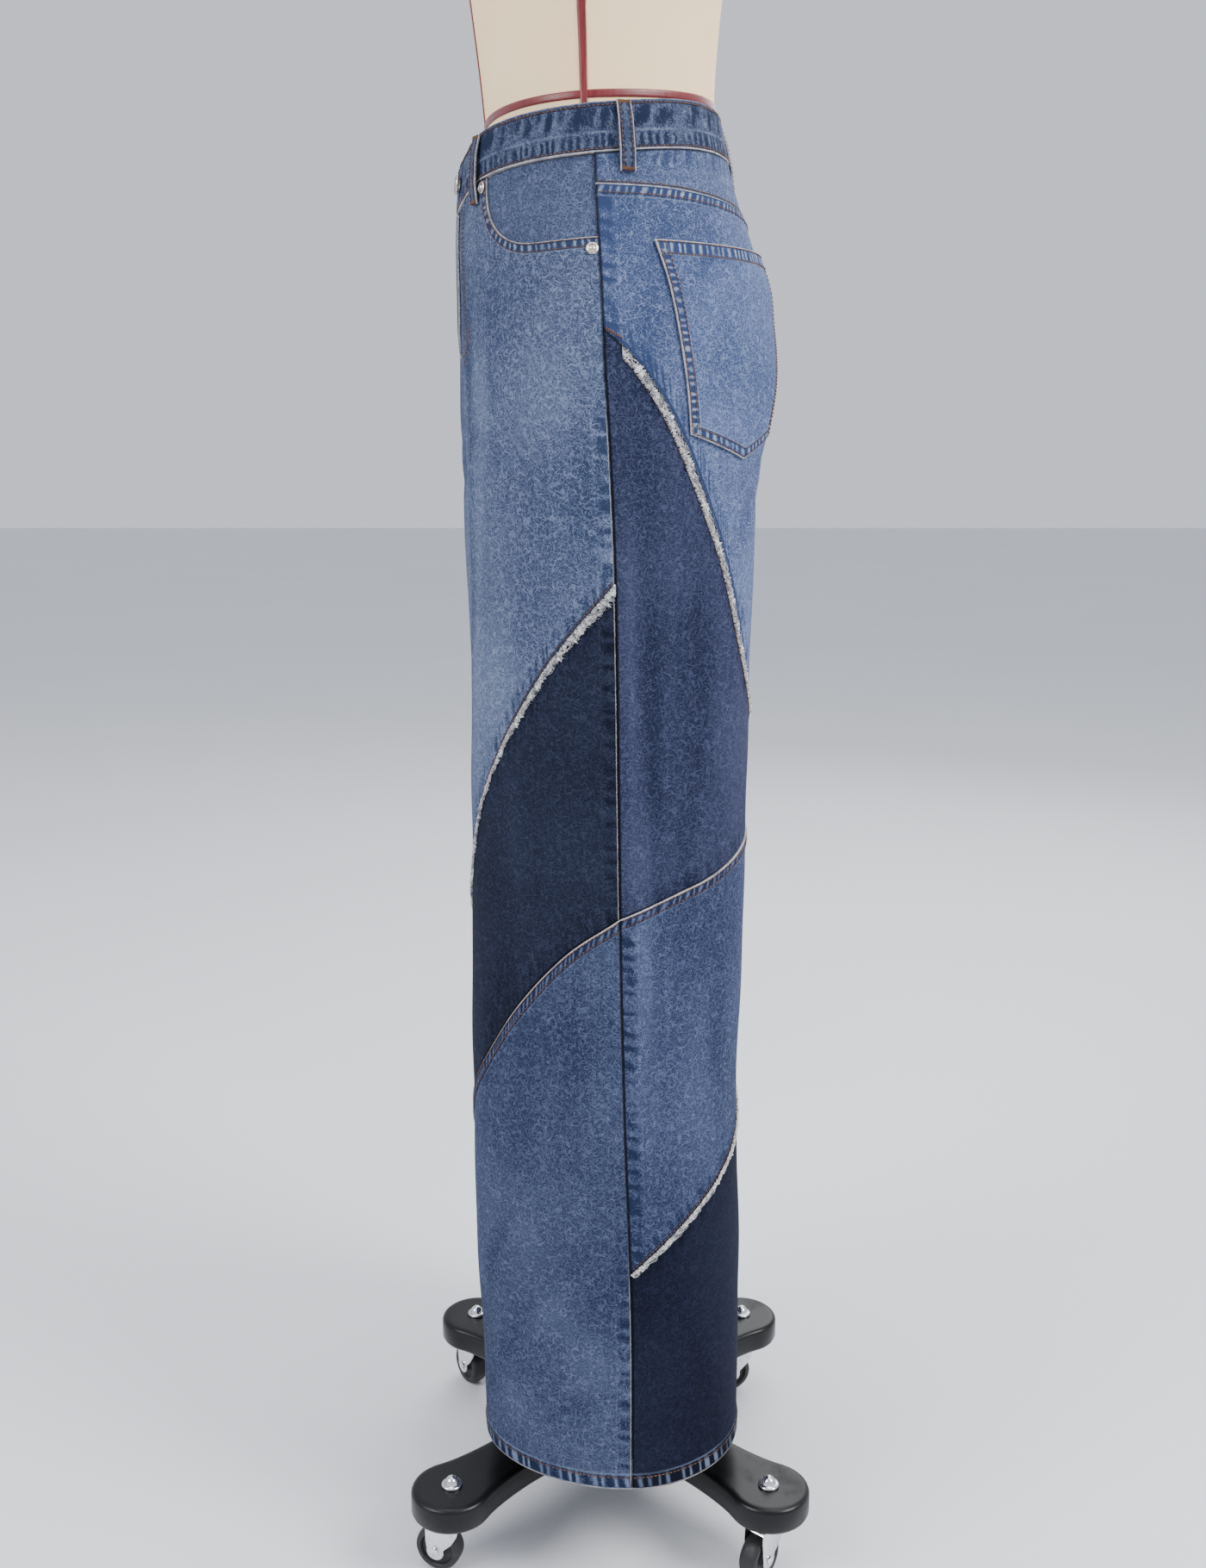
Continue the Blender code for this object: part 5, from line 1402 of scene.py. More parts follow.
for side, word in LEGS:
    for piece_word, *row in LEG_ROWS:
        sew_line(f"{word}_{piece_word}", *row, side)

    # The front pocket's opening has a double row
    t = np.linspace(0.0, 1.0, 200)
    path = np.stack(pocket_edge(t), -1)
    inward = np.gradient(flat_place(*path.T), axis=0)
    inward = np.stack([inward[:, 1], -inward[:, 0]], -1)
    inward /= np.linalg.norm(inward, axis=1, keepdims=True)
    for distance in (0.0012, 0.0066):
        a = path[:, 0] + inward[:, 0] * distance / metres_per_degree(*path.T)
        z = path[:, 1] + inward[:, 1] * distance
        keep = (a < 89.5) & (z < waist_height(a) - 0.001)
        sew(f"{word}_front_upper", *cloth_row(a[keep], z[keep], 0.0, side))

    # The back pocket: two rows down its sides and round its base, two along its hem
    seat_out = POCKET_LIFT + CLOTH
    for inset in (0.0014, 0.0068):
        s0, t1 = inset / BACK_POCKET_WIDE, 1 - 0.0008 / BACK_POCKET_TALL
        low = inset / BACK_POCKET_TALL
        corners = ((s0, t1), (s0, low * 0.9), (BACK_POCKET_TIP_AT, low), (1 - s0, low * 0.9), (1 - s0, t1))
        for (sa, ta), (sb, tb) in zip(corners, corners[1:]):
            part = np.linspace(0.0, 1.0, 60)
            a, z = pocket_corner(sa + (sb - sa) * part, ta + (tb - ta) * part)
            sew(f"{word}_back_pocket", *cloth_row(a, z, seat_out, side))
    for drop in (0.0014, 0.0098):
        s = np.linspace(0.012, 0.988, 120)
        a, z = pocket_corner(s, 1 - drop / BACK_POCKET_TALL + 0.0 * s)
        z = BACK_POCKET_TOP - drop + 0.0 * z
        sew(f"{word}_back_pocket", *cloth_row(a, z, seat_out + 0.0005, side))
print("rows on", len(stitch_rows), "pieces")

# %% Rows on the waistband, the loops and the fly
ring = np.linspace(BAND_START + 0.6, 360.0 + BAND_START - 0.8, 900)
around = np.where(ring > 180.0, 360.0 - ring, np.abs(ring))
for distance in (0.0020, BAND_HEIGHT - 0.0026):
    z = waist_height(around) + HALF_GAP + distance
    base = BAND_LIFT + end_rise(ring)
    points = waist_ring(ring, z, base - 0.0002)
    sew("waistband", points, (waist_ring(ring, z, base + 0.001) - points) / 0.0012)
for side, word in LEGS:
    tack = np.linspace(0.0, 1.0, 30)
    for drop in (0.0, 0.0009):
        points, outward = cloth_row(90.6 + 4.6 * tack, 0.9995 - drop - 0.0068 * tack, 0.0, side)
        sew(f"{word}_back_upper", points, outward, pitch=0.0016, length=0.0015, radius=0.00042)
for name, angle, below, above in LOOPS:
    z, bow = loop_path(angle, below, above, np.linspace(0.03, 0.97, 40))
    bow = bow + CLOTH
    for offset in (-0.63, 0.63):
        at_side = angle + LOOP_TURN * offset + 0.0 * z
        points = waist_ring(at_side, z, bow - 0.0001)
        sew(name, points, (waist_ring(at_side, z, bow + 0.001) - points) / 0.0011)
    for end in (0, -1):
        centre = waist_ring([angle], z[[end]], bow[[end]])[0]
        outward = unit(waist_ring([angle], z[[end]], bow[[end]] + 0.001)[0] - centre)
        bar_tack(name, centre, unit(np.cross([0.0, 0.0, 1.0], outward)), outward, 0.0095, 0.0024)
FLY_ROWS = (0.0285, 0.0345)     # metres from the middle seam
FLY_TURN_Z = 1.012              # where they turn in towards it
z = np.linspace(FLY_TURN_Z, float(waist_height(0.0)) - 0.001, 80)
for x in FLY_ROWS:
    sew("left_front_upper", *cloth_row(x / metres_per_degree(0.0 * z, z), z, 0.0, 1))
quarter = np.linspace(0.0, 1.0, 40) * pi / 2
for x in FLY_ROWS:
    drop = FLY_TURN_Z - (FLY_TURN_Z - FLY_LOW_Z + FLY_ROWS[1] - x) * np.sin(quarter)
    bend = x * np.cos(quarter) ** 0.7 + 0.004
    angle = np.maximum(-middle_angle(drop), 0.0) + bend / metres_per_degree(0.0 * drop, drop)
    sew("left_front_upper", *cloth_row(angle, drop, 0.0, 1))

thread_material, tree, shader = new_material("rust thread", (0.150, 0.052, 0.018), 0.70)
at = object_place(tree)
twist = noise(tree, at, 2600.0)
worn_thread = ramp(tree, maths(tree, "MULTIPLY_ADD", twist, 0.35, noise(tree, at, 45.0)), 0.55, 1.0)
finish(tree, shader, blend(tree, worn_thread, (0.085, 0.029, 0.010), (0.19, 0.078, 0.031)),
       bump=(0.5, 0.0002, twist))
with_thread = {}
for group, parts in stitch_rows.items():
    name = f"thread_{group}"
    with_thread[group] = place_piece(name, new_mesh(name, *joined(parts)), thread_material)
print(sum(len(p.data.vertices) for p in with_thread.values()) // STITCH_POINTS, "stitches")

# %% [markdown]
# ## Frayed edges
#
# Where a raw edge is left outside, the weft works loose in the wash. It makes
# a mat of matted ends along the seam with curled threads over it. The mat is a
# lumpy strip with an uneven lower edge. The threads start at the seam, wander
# down the cloth and stand a little proud of it.

# %% Frays
FRAY_THIN_WIDTH = 0.0027
FRAY_RISE_MOST = 0.0024
BACK_FRAY_ROW = 0.0062      # from the seat's seam up to the stitches that its fray hangs on
FRAY_THREAD_PITCH = 0.00042
FRAYS = (
    # name, seam line, first and last angle, panel it is cut from, greatest width
    ("front_fray", front_fray_line, -89.5, FRONT_SIDE, "front_upper", 0.0072),
    ("back_fray", back_fray_line, 95.0, 269.5, "back_upper", 0.0064),
    ("calf_fray", calf_fray_line, BACK_SIDE, 269.5, "back_lower", 0.0042),
)
with_fray = {}


def wavelets(seed, count, low, high):
    """A smooth uneven line: a few waves of seeded pitch and shift."""
    chance = np.random.default_rng(seed)
    pitch = chance.uniform(low, high, count)
    shift = chance.uniform(0.0, 2 * pi, count)

    def value(at):
        return sum(np.sin(2 * pi * at / p + s) for p, s in zip(pitch, shift)) / sqrt(count)

    return value


def fray_point(line, angle, down, out, side, first, last):
    """A point below a seam line by a distance across it. The seat's fray points up from its stitches."""
    if line is back_fray_line:
        down = BACK_FRAY_ROW - down
    slope = slope_of(line, np.clip(angle, first + END_MARGIN, last - END_MARGIN))
    length = np.sqrt(1 + slope * slope)
    a = angle + down * slope / length / metres_per_degree(angle, line(angle))
    return cloth(np.clip(a, first, last), line(angle) - down / length, out, side)


def tubes(paths, thick):
    """Three-sided tubes along many paths of the same number of points."""
    count, steps = paths.shape[:2]
    along = np.gradient(paths, axis=1)
    along /= np.maximum(np.linalg.norm(along, axis=-1, keepdims=True), 1e-9)
    side_axis = np.cross(along, np.array([0.31, 0.22, 0.92]))
    side_axis /= np.maximum(np.linalg.norm(side_axis, axis=-1, keepdims=True), 1e-9)
    up_axis = np.cross(side_axis, along)
    taper = 1.0 if steps > 50 else np.linspace(1.0, 0.45, steps)[None, :, None]
    corners = [side_axis * cos(turn) + up_axis * sin(turn) for turn in (0.0, 2 * pi / 3, 4 * pi / 3)]
    points = np.stack([paths + corner * thick[:, None, None] * taper for corner in corners], 2).reshape(-1, 3)
    index = np.arange(count * steps * 3).reshape(count, steps, 3)
    following = np.roll(index, -1, axis=2)
    quads = np.stack([index[:, :-1], following[:, :-1], following[:, 1:], index[:, 1:]], -1).reshape(-1, 4)
    return points, quads


def make_fray(name, line, first, last, widest, side, word, seed):
    angle = np.linspace(first, last, 640)
    near = np.clip(1 - np.abs(angle - 90.0) / (58.0 if name == "front_fray" else 150.0), 0.0, 1.0)
    if name == "front_fray":
        near = near * np.clip((93.5 - angle) / 9.0, 0.25, 1.0)
    path = fray_point(line, angle, 0.0 * angle, 0.0, side, first, last)
    run = run_along(path)
    full = FRAY_THIN_WIDTH + (widest - FRAY_THIN_WIDTH) * near
    ragged = wavelets(seed, 5, 0.007, 0.040)
    lumps = wavelets(seed + 1, 9, 0.0014, 0.005)
    width = full * np.clip(0.52 + 0.40 * ragged(run) + 0.30 * lumps(run), 0.08, 1.25)
    begin = 0.0007 + 0.0007 * lumps(run + 0.5)
    across = np.linspace(0.0, 1.0, 6)[:, None]
    down = begin[None, :] + across * (width - begin)[None, :]
    a, across_all = np.broadcast_arrays(angle[None, :], across)
    height = 0.0004 + 0.0012 * np.sin(pi * np.clip(across_all * 0.85 + 0.1, 0.0, 1.0))
    tufts = lumps(run)[None, :] * np.sin(9.0 * across_all + run[None, :] * 900.0)
    height = height * np.clip(1.0 + 0.6 * tufts, 0.3, 2.0)
    top = fray_point(line, a, down, 0.0002 + height, side, first, last)
    under = fray_point(line, a, down, 0.0 * a, side, first, last)
    mesh = wall_mesh(f"{word}_{name}", under, top, (side > 0) != (line is back_fray_line))

    chance = np.random.default_rng(seed + 2)
    count = int(run[-1] / FRAY_THREAD_PITCH)
    starts = np.sort(chance.uniform(first, last, count))
    reach = np.interp(starts, angle, full)
    length = reach * chance.uniform(0.35, 1.25, count)
    lean = chance.normal(0.25, 0.55, count) * length
    part = np.linspace(0.0, 1.0, 6)
    curl = chance.uniform(0.2, 1.0, count) * 0.0011
    turn = chance.uniform(0.0, 2 * pi, count)
    twist = chance.uniform(3.0, 8.0, count)
    radius = chance.uniform(0.00012, 0.00026, count)
    down = length[:, None] * part[None, :] - 0.0006
    sway = lean[:, None] * part[None, :] ** 1.4
    sway += curl[:, None] * np.sin(turn[:, None] + twist[:, None] * part[None, :]) * part[None, :]
    rise = 0.0007 + 0.0011 * np.sin(pi * part)[None, :] * chance.uniform(0.3, 1.4, count)[:, None]
    rise += curl[:, None] * 0.5 * np.cos(turn[:, None] + twist[:, None] * part[None, :]) * part[None, :]
    a = starts[:, None] + sway / metres_per_degree(starts, line(starts))[:, None]
    rise = np.clip(rise, 0.0003, FRAY_RISE_MOST)
    spine = fray_point(line, np.clip(a, first, last), down, rise, side, first, last)
    strands = [(spine, radius)]
    for k in range(7):
        along = np.linspace(first + 0.3, last - 0.3, 330)
        wave = wavelets(seed + 10 + k, 6, 0.006, 0.030)
        swing = np.interp(along, angle, run)
        share = np.interp(along, angle, full) * (0.12 + 0.11 * k)
        level = np.clip(share + 0.0009 * wave(swing), 0.0002, None)
        lift = 0.0012 + 0.0005 * np.sin(swing * 700.0 + k) + 0.0003 * wave(swing * 2.0)
        strand = fray_point(line, along, level, np.clip(lift, 0.0005, FRAY_RISE_MOST), side, first, last)
        strands.append((strand[None], np.array([0.00017])))
    loose = new_mesh(f"{word}_{name}_threads", *joined([tubes(*strand) for strand in strands]))
    edit = bmesh.new()
    edit.from_mesh(mesh)
    edit.from_mesh(loose)
    edit.to_mesh(mesh)
    edit.free()
    bpy.data.meshes.remove(loose)
    return place_piece(f"frayed_{word}_{name}", mesh, fray_material, (f"{word}_{name}",))


fray_material, tree, shader = new_material("frayed cotton", (0.80, 0.80, 0.82), 0.95, Sheen_Weight=0.3)
at = object_place(tree)
# Dark speckle in the white: blue fibres, and painted shade in the gaps between the threads.
blue = ramp(tree, noise(tree, at, 230.0), 0.46, 0.66)
fine_blue_and_gap_shade = ramp(tree, noise(tree, at, 780.0), 0.46, 0.64)
blue_fibres_and_gap_shade = maths(tree, "MULTIPLY", maths(tree, "MAXIMUM", blue, fine_blue_and_gap_shade), 0.80)
finish(tree, shader, blend(tree, blue_fibres_and_gap_shade, (0.90, 0.88, 0.86), (0.10, 0.12, 0.17)),
       bump=(0.8, 0.0006, noise(tree, at, 2200.0, 3.0, 0.6)))
for side, word in LEGS:
    for k, (name, line, first, last, owner, widest) in enumerate(FRAYS):
        piece = make_fray(name, line, first, last, widest, side, word, 40 + 17 * k + (5 if side < 0 else 0))
        with_fray.setdefault(f"{word}_{owner}", []).append(piece)
print("faces in the frays:", sum(len(p.data.polygons) for group in with_fray.values() for p in group))

# %% [markdown]
# ## Metal trims
#
# The button is stamped: a domed cap with a rim pressed over a post. The rivets
# are studs of the same aged metal, whose heads have a raised nipple and a rolled
# rim. Both are plain, with no word or mark.

# %% Button and rivets
BUTTON_RADIUS, RIVET_RADIUS = 0.0075, 0.0045
BUTTON_AT = 7.0, 1.1135     # degrees, height
BUTTON_PROFILE = (
    # share of the radius, height
    (0.0, 0.0034), (0.30, 0.00335), (0.52, 0.0031), (0.60, 0.0027), (0.68, 0.0027), (0.76, 0.0033),
    (0.88, 0.0034), (0.97, 0.0030), (1.0, 0.0024), (0.97, 0.0016), (0.80, 0.0012), (0.5, 0.0010),
    (0.5, 0.0), (0.0, 0.0),
)
RIVETS = (("side", 87.0, 1.0535), ("front", 32.6, 1.1040))      # name, degrees, height
RIVET_PROFILE = (
    # share of the radius, height
    (0.0, 0.0020), (0.20, 0.0019), (0.34, 0.0015), (0.44, 0.0010), (0.60, 0.0010), (0.74, 0.0013),
    (0.90, 0.0011), (1.0, 0.0006), (1.0, 0.0), (0.0, 0.0),
)


def lathe(name, profile, steps):
    """A turned mesh from (radius, height) points that start and end on the axis."""
    vertices = [(0.0, 0.0, profile[0][1])]
    for r, z in profile[1:-1]:
        for k in range(steps):
            turn = 2 * pi * k / steps
            vertices.append((r * cos(turn), r * sin(turn), z))
    vertices.append((0.0, 0.0, profile[-1][1]))
    faces = []
    last = len(vertices) - 1
    rings = len(profile) - 2
    for k in range(steps):
        m = (k + 1) % steps
        faces.append((0, 1 + k, 1 + m))
        for j in range(rings - 1):
            low, high = 1 + j * steps, 1 + (j + 1) * steps
            faces.append((low + k, high + k, high + m, low + m))
        low = 1 + (rings - 1) * steps
        faces.append((low + m, low + k, last))
    return new_mesh(name, vertices, faces, sharp=SHARP_TURNED)


def seat_matrix(angle, z, out, side):
    seat = Vector(cloth(np.array([angle]), np.array([z]), out, side)[0])
    above = Vector(cloth(np.array([angle]), np.array([z]), out + 0.01, side)[0])
    return Matrix.Translation(seat) @ (above - seat).to_track_quat("Z", "Y").to_matrix().to_4x4()


metal, tree, shader = new_material("aged trim metal", (0.64, 0.56, 0.50), 0.30, 1.0)
at = object_place(tree)
tarnish = ramp(tree, noise(tree, at, 700.0, 3.0), 0.42, 0.70)
finish(tree, shader, blend(tree, tarnish, (0.66, 0.62, 0.57), (0.33, 0.25, 0.20)),
       ramp(tree, tarnish, 0.0, 1.0, 0.24, 0.50), (0.25, 0.0002, tarnish))

button_mesh = lathe("button", [(BUTTON_RADIUS * r, h) for r, h in BUTTON_PROFILE], 64)
button_mesh.transform(seat_matrix(*BUTTON_AT, BAND_LIFT + BAND_END_RISE * 0.6 + 0.0004, 1))
place_piece("waist_button", button_mesh, metal, ("button",))
for side, word in LEGS:
    for where, angle, z in RIVETS:
        profile = [(RIVET_RADIUS * r, h) for r, h in RIVET_PROFILE]
        mesh = lathe(f"{word}_{where}_rivet", profile, 40)
        mesh.transform(seat_matrix(angle, z, OVERLAY_LIFT, side))
        place_piece(f"{word}_{where}_stud", mesh, metal, (f"{word}_{where}_rivet",))
print("a button and four rivets")

# %% [markdown]
# ## Dress form
#
# The form is a moulded shell covered in cream cotton, with satin tapes pinned
# along its lines: centre front, centre back, both sides and the waist. They
# guide the sewer's hand. The shell ends in a flat cut at the neck and at the
# bottom edge, inside the jeans.

# %% Torso surface
FORM_BASE_Z, FORM_TOP_Z = 0.985, 1.610
TORSO = (
    # height, half width, front, where it is widest, back; two rows a line
    (0.985, 0.140, -0.084, -0.022, 0.092), (0.990, 0.150, -0.094, -0.0245, 0.104),
    (1.003, 0.154, -0.102, -0.0260, 0.1135), (1.030, 0.1485, -0.104, -0.0265, 0.1170),
    (1.075, 0.1355, -0.100, -0.0275, 0.1010), (1.110, 0.1280, -0.097, -0.0275, 0.0910),
    (1.135, 0.1245, -0.096, -0.0270, 0.0850), (1.165, 0.1200, -0.098, -0.0250, 0.0795),
    (1.220, 0.1205, -0.104, -0.0180, 0.0815), (1.280, 0.1290, -0.113, -0.0120, 0.0880),
    (1.340, 0.1440, -0.131, -0.0080, 0.0970), (1.395, 0.1530, -0.122, 0.0000, 0.1030),
    (1.450, 0.1640, -0.093, 0.0040, 0.0980), (1.490, 0.1630, -0.070, 0.0060, 0.0840),
    (1.518, 0.1300, -0.056, 0.0060, 0.0700), (1.538, 0.0820, -0.050, 0.0040, 0.0600),
    (1.560, 0.0600, -0.052, 0.0010, 0.0540), (1.600, 0.0540, -0.054, -0.0030, 0.0480),
    (1.610, 0.0500, -0.050, -0.0030, 0.0440),
)
torso_width, torso_front, torso_widest, torso_back = (column(TORSO, k) for k in (1, 2, 3, 4))


def torso(a, z, out=0.0):
    """A point of the form. a goes round from the front, in radians."""
    a = np.asarray(a, float)
    z = np.asarray(z, float)

    def bare(a, z):
        depth = np.where(np.cos(a) > 0, torso_widest(z) - torso_front(z), torso_back(z) - torso_widest(z))
        return np.stack([torso_width(z) * np.sin(a), torso_widest(z) - depth * np.cos(a), z + 0.0 * a], -1)

    across = np.cross(bare(a + 0.01, z) - bare(a - 0.01, z), bare(a, z + 0.001) - bare(a, z - 0.001))
    across /= np.linalg.norm(across, axis=-1, keepdims=True)
    return turned(bare(a, z) + across * np.asarray(out)[..., None])


def loft(name, rings, channels=None):
    """A closed skin through rings of points, capped at both ends."""
    rows, count = rings.shape[:2]
    index = np.arange(rows * count).reshape(rows, count)
    following = np.roll(index, -1, axis=1)
    quads = np.stack([index[:-1], following[:-1], following[1:], index[1:]], -1).reshape(-1, 4)
    faces = quads.tolist() + [index[0, ::-1].tolist(), index[-1].tolist()]
    return new_mesh(name, rings.reshape(-1, 3).tolist(), faces, channels, SHARP_CLOTH)


turns = np.linspace(0.0, 2 * pi, 97)[:-1]
base_edge, neck_edge = (FORM_BASE_Z, 0.9865, 0.989), (1.6075, 1.6092, FORM_TOP_Z)
levels = np.concatenate([base_edge, np.linspace(0.993, 1.604, 124), neck_edge])
a, z = np.broadcast_arrays(turns[None, :], levels[:, None])
form_mesh = loft("form", torso(a, z), {"grain": field(a * 0.15, z)})

CANVAS_PITCH = 0.0011
canvas, tree, shader = new_material("form canvas", (0.83, 0.74, 0.60), 0.82, Sheen_Weight=0.08)
grain = attribute(tree, "grain")
axes = split(tree, grain)
waves = [maths(tree, "SINE", maths(tree, "MULTIPLY", axes[k], 2 * pi / CANVAS_PITCH)) for k in (0, 1)]
basket = maths(tree, "MULTIPLY", *waves)
slubs = noise(tree, stretch(tree, grain, 90.0, 700.0), 1.0, 2.0)
soft = noise(tree, grain, 7.0, 2.0)
shade = maths(tree, "MULTIPLY_ADD", slubs, 0.35, maths(tree, "MULTIPLY_ADD", basket, 0.06, soft))
finish(tree, shader, blend(tree, ramp(tree, shade, 0.35, 1.05), (0.94, 0.65, 0.36), (0.98, 0.77, 0.48)),
       bump=(0.25, 0.0003, maths(tree, "MULTIPLY_ADD", slubs, 0.8, basket)))
place_piece("dress_form", form_mesh, canvas, ("form_torso",))

# %% Tapes on the form
TAPE_LIFT = 0.0007


def tape(name, a, z, half_width, sideways):
    """A thin satin tape along a path on the form. sideways is True where it runs up."""
    reach = np.array([-1.0, -0.85, -0.3, 0.3, 0.85, 1.0])[:, None] * half_width
    edge = np.array([0.0, 1.0, 1.0, 1.0, 1.0, 0.0])[:, None]
    a, z, reach, edge = np.broadcast_arrays(a[None, :], z[None, :], reach, edge)
    if sideways:
        per_radian = np.sqrt((torso_width(z) * np.cos(a)) ** 2 + (0.09 * np.sin(a)) ** 2)
        a = a + reach / per_radian
    else:
        z = z + reach
    outer = torso(a, z, 0.0001 + TAPE_LIFT * (0.45 + 0.55 * edge))
    inner = torso(a, z, -0.0004 + 0.0 * a)
    mesh = wall_mesh(name, outer, inner, sideways, {"grain": field(a, z)})
    return place_piece(name, mesh, satin)


satin, tree, shader = new_material("red satin", (0.30, 0.012, 0.020), 0.34, Sheen_Weight=0.15)
grain = attribute(tree, "grain")
gloss = noise(tree, stretch(tree, grain, 30.0, 30.0), 1.0, 3.0)
threads = noise(tree, stretch(tree, grain, 900.0, 900.0), 1.0, 2.0)
finish(tree, shader, blend(tree, ramp(tree, gloss, 0.3, 0.7), (0.110, 0.003, 0.006), (0.175, 0.006, 0.010)),
       ramp(tree, gloss, 0.3, 0.7, 0.28, 0.46), (0.2, 0.0002, threads))

up_path = np.linspace(1.00, 1.604, 180)
shoulder_path = np.linspace(1.00, 1.500, 150)
tape("front_tape", 0.0 * up_path, up_path, 0.0032, True)
tape("back_tape", pi + 0.0 * up_path, up_path, 0.0032, True)
side_turn = np.interp(shoulder_path, [1.0, 1.16, 1.22, 1.50], [1.52, 1.45, 1.36, 1.40])
tape("left_side_tape", side_turn, shoulder_path, 0.0033, True)
tape("right_side_tape", -side_turn, shoulder_path, 0.0033, True)
ring_turn = np.linspace(0.0, 2 * pi, 220)
ring_z = 1.1590 + 0.0110 * (0.5 - 0.5 * np.cos(ring_turn)) ** 2 + 0.0004 * np.sin(3 * ring_turn)
tape("waist_tape", ring_turn[:-1], ring_z[:-1], 0.0028, False)
print("tapes on the form: 5")

# %% [markdown]
# ## Stand
#
# A cast base with four waisted arms carries the pole. A wheel turns in each
# fork, and the fork's stem passes up through the arm and is held by a domed
# nut. The base is cast iron with a semi-matt black coat, slightly orange-peeled.

# %% Base and pole
BASE_X = 0.0305
BOLT_OFFSET = 0.1310
ARM_TOP_Z, ARM_THICKNESS = 0.078, 0.022
ARM_END_RADIUS, ARM_END_TURN = 0.034, radians(126.0)
ARM_OUTLINE = (
    # distance from the pole, half width
    (0.046, 0.0460), (0.058, 0.0362), (0.082, 0.0272), (0.112, 0.0240), (0.142, 0.0252),
)
BASE_ROUNDING = (
    # share of half the thickness, how far the outline is drawn in there
    (-1.0, 0.0062), (-1.0, 0.0030), (-0.93, 0.0010), (-0.72, 0.0), (0.66, 0.0), (0.84, 0.0008),
    (0.96, 0.0024), (1.0, 0.0045), (1.0, 0.0070),
)
CASTERS = (
    # name, side of the base in x and in y, heading
    ("front_left", 1, -1, 250.0), ("front_right", -1, -1, 215.0),
    ("rear_left", 1, 1, 320.0), ("rear_right", -1, 1, 285.0),
)


def base_outline():
    """Four waisted arms with round ends, as one smooth closed outline."""
    near_r = np.linspace(ARM_OUTLINE[0][0], ARM_OUTLINE[-1][0], 26)
    near_w = smooth_line(ARM_OUTLINE)(near_r)
    reach = BOLT_OFFSET * sqrt(2)
    points = []
    for arm in range(4):
        heading = radians(45.0 + 90.0 * arm)
        along = np.array([cos(heading), sin(heading)])
        across = np.array([-sin(heading), cos(heading)])
        near = [along * r - across * w for r, w in zip(near_r, near_w)]
        far = [along * r + across * w for r, w in zip(near_r[:0:-1], near_w[:0:-1])]
        end = []
        for turn in np.linspace(-ARM_END_TURN, ARM_END_TURN, 40):
            end.append(along * (reach + ARM_END_RADIUS * cos(turn)) + across * ARM_END_RADIUS * sin(turn))
        points += near + end + far
    return np.array(points)


def smooth_closed(points, passes):
    for _ in range(passes):
        points = (np.roll(points, 1, 0) + 2 * points + np.roll(points, -1, 0)) / 4
    return points


def inset(points, distance):
    along = np.roll(points, -1, 0) - np.roll(points, 1, 0)
    along /= np.linalg.norm(along, axis=1, keepdims=True)
    return points - np.stack([along[:, 1], -along[:, 0]], -1) * distance


def make_base():
    outline = smooth_closed(base_outline(), 3)
    half_height = ARM_THICKNESS / 2
    rings = []
    for drop, pull in BASE_ROUNDING:
        ring = inset(outline, pull)
        rings.append(np.concatenate([ring, np.full((len(ring), 1), half_height * drop)], 1))
    mesh = loft("base", np.array(rings))
    mesh.transform(Matrix.Translation((BASE_X, 0.0, ARM_TOP_Z - half_height)))
    return mesh


paint, tree, shader = new_material("black coat", (0.004, 0.004, 0.005), 0.42, Specular_IOR_Level=0.30)
at = object_place(tree)
dust = ramp(tree, noise(tree, at, 24.0, 4.0, 0.6), 0.45, 0.80)
finish(tree, shader, blend(tree, dust, (0.0030, 0.0030, 0.0036), (0.0080, 0.0080, 0.0090)),
       ramp(tree, dust, 0.0, 1.0, 0.32, 0.50), (0.10, 0.0004, noise(tree, at, 420.0)))
place_piece("stand_base", make_base(), paint, ("base",))

low = ARM_TOP_Z + SEAM_GAP
high = FORM_BASE_Z - SEAM_GAP
pole_mesh = lathe("pole", (
    (0.0, high), (0.0118, high), (0.0125, high - 0.001), (0.0125, low + 0.0195), (0.0131, low + 0.0186),
    (0.0150, low + 0.0178), (0.0164, low + 0.0160), (0.0170, low + 0.0130), (0.0170, low + 0.0020),
    (0.0164, low + 0.0004), (0.0158, low), (0.0, low),
), 48)
pole_mesh.transform(Matrix.Translation((BASE_X, 0.0, 0.0)))
place_piece("stand_pole", pole_mesh, paint, ("pole",))

# %% [markdown]
# ### Casters
#
# The fork is pressed from sheet and chromed. A race with a rolled rim carries
# it under the arm. The wheel has a hard hub with a raised boss, and a rubber
# tyre with rounded shoulders. Each fork turns on its stem and each wheel on its
# axle, so they ride on their own bodies.

# %% Fork, wheel and nut
WHEEL_RADIUS, WHEEL_WIDTH = 0.0195, 0.016
WHEEL_PROFILE = (
    # radius, share of half the width
    (0.0031, 0.86), (0.0056, 0.86), (0.0062, 0.80), (0.0070, 0.62), (0.0120, 0.60), (0.0134, 0.66),
    (0.0140, 0.90), (0.0147, 0.99), (0.0160, 1.0), (0.0180, 0.93), (0.0192, 0.74), (0.0196, 0.40),
    (0.0197, 0.0),
)
NUT_RADIUS, NUT_HEIGHT = 0.0068, 0.0085
NUT_PROFILE = (
    # share of the radius, share of the height
    (0.0, 1.0), (0.14, 0.985), (0.34, 0.93), (0.56, 0.80), (0.74, 0.62), (0.84, 0.44), (0.88, 0.30),
    (1.12, 0.27), (1.24, 0.20), (1.28, 0.08), (1.25, 0.0), (0.0, 0.0),
)
CASTER_TRAIL = 0.012        # from the stem's axis back to the wheel's
CHEEK_IN = WHEEL_WIDTH / 2 + 0.0008
CHEEK_OUT = CHEEK_IN + 0.0016


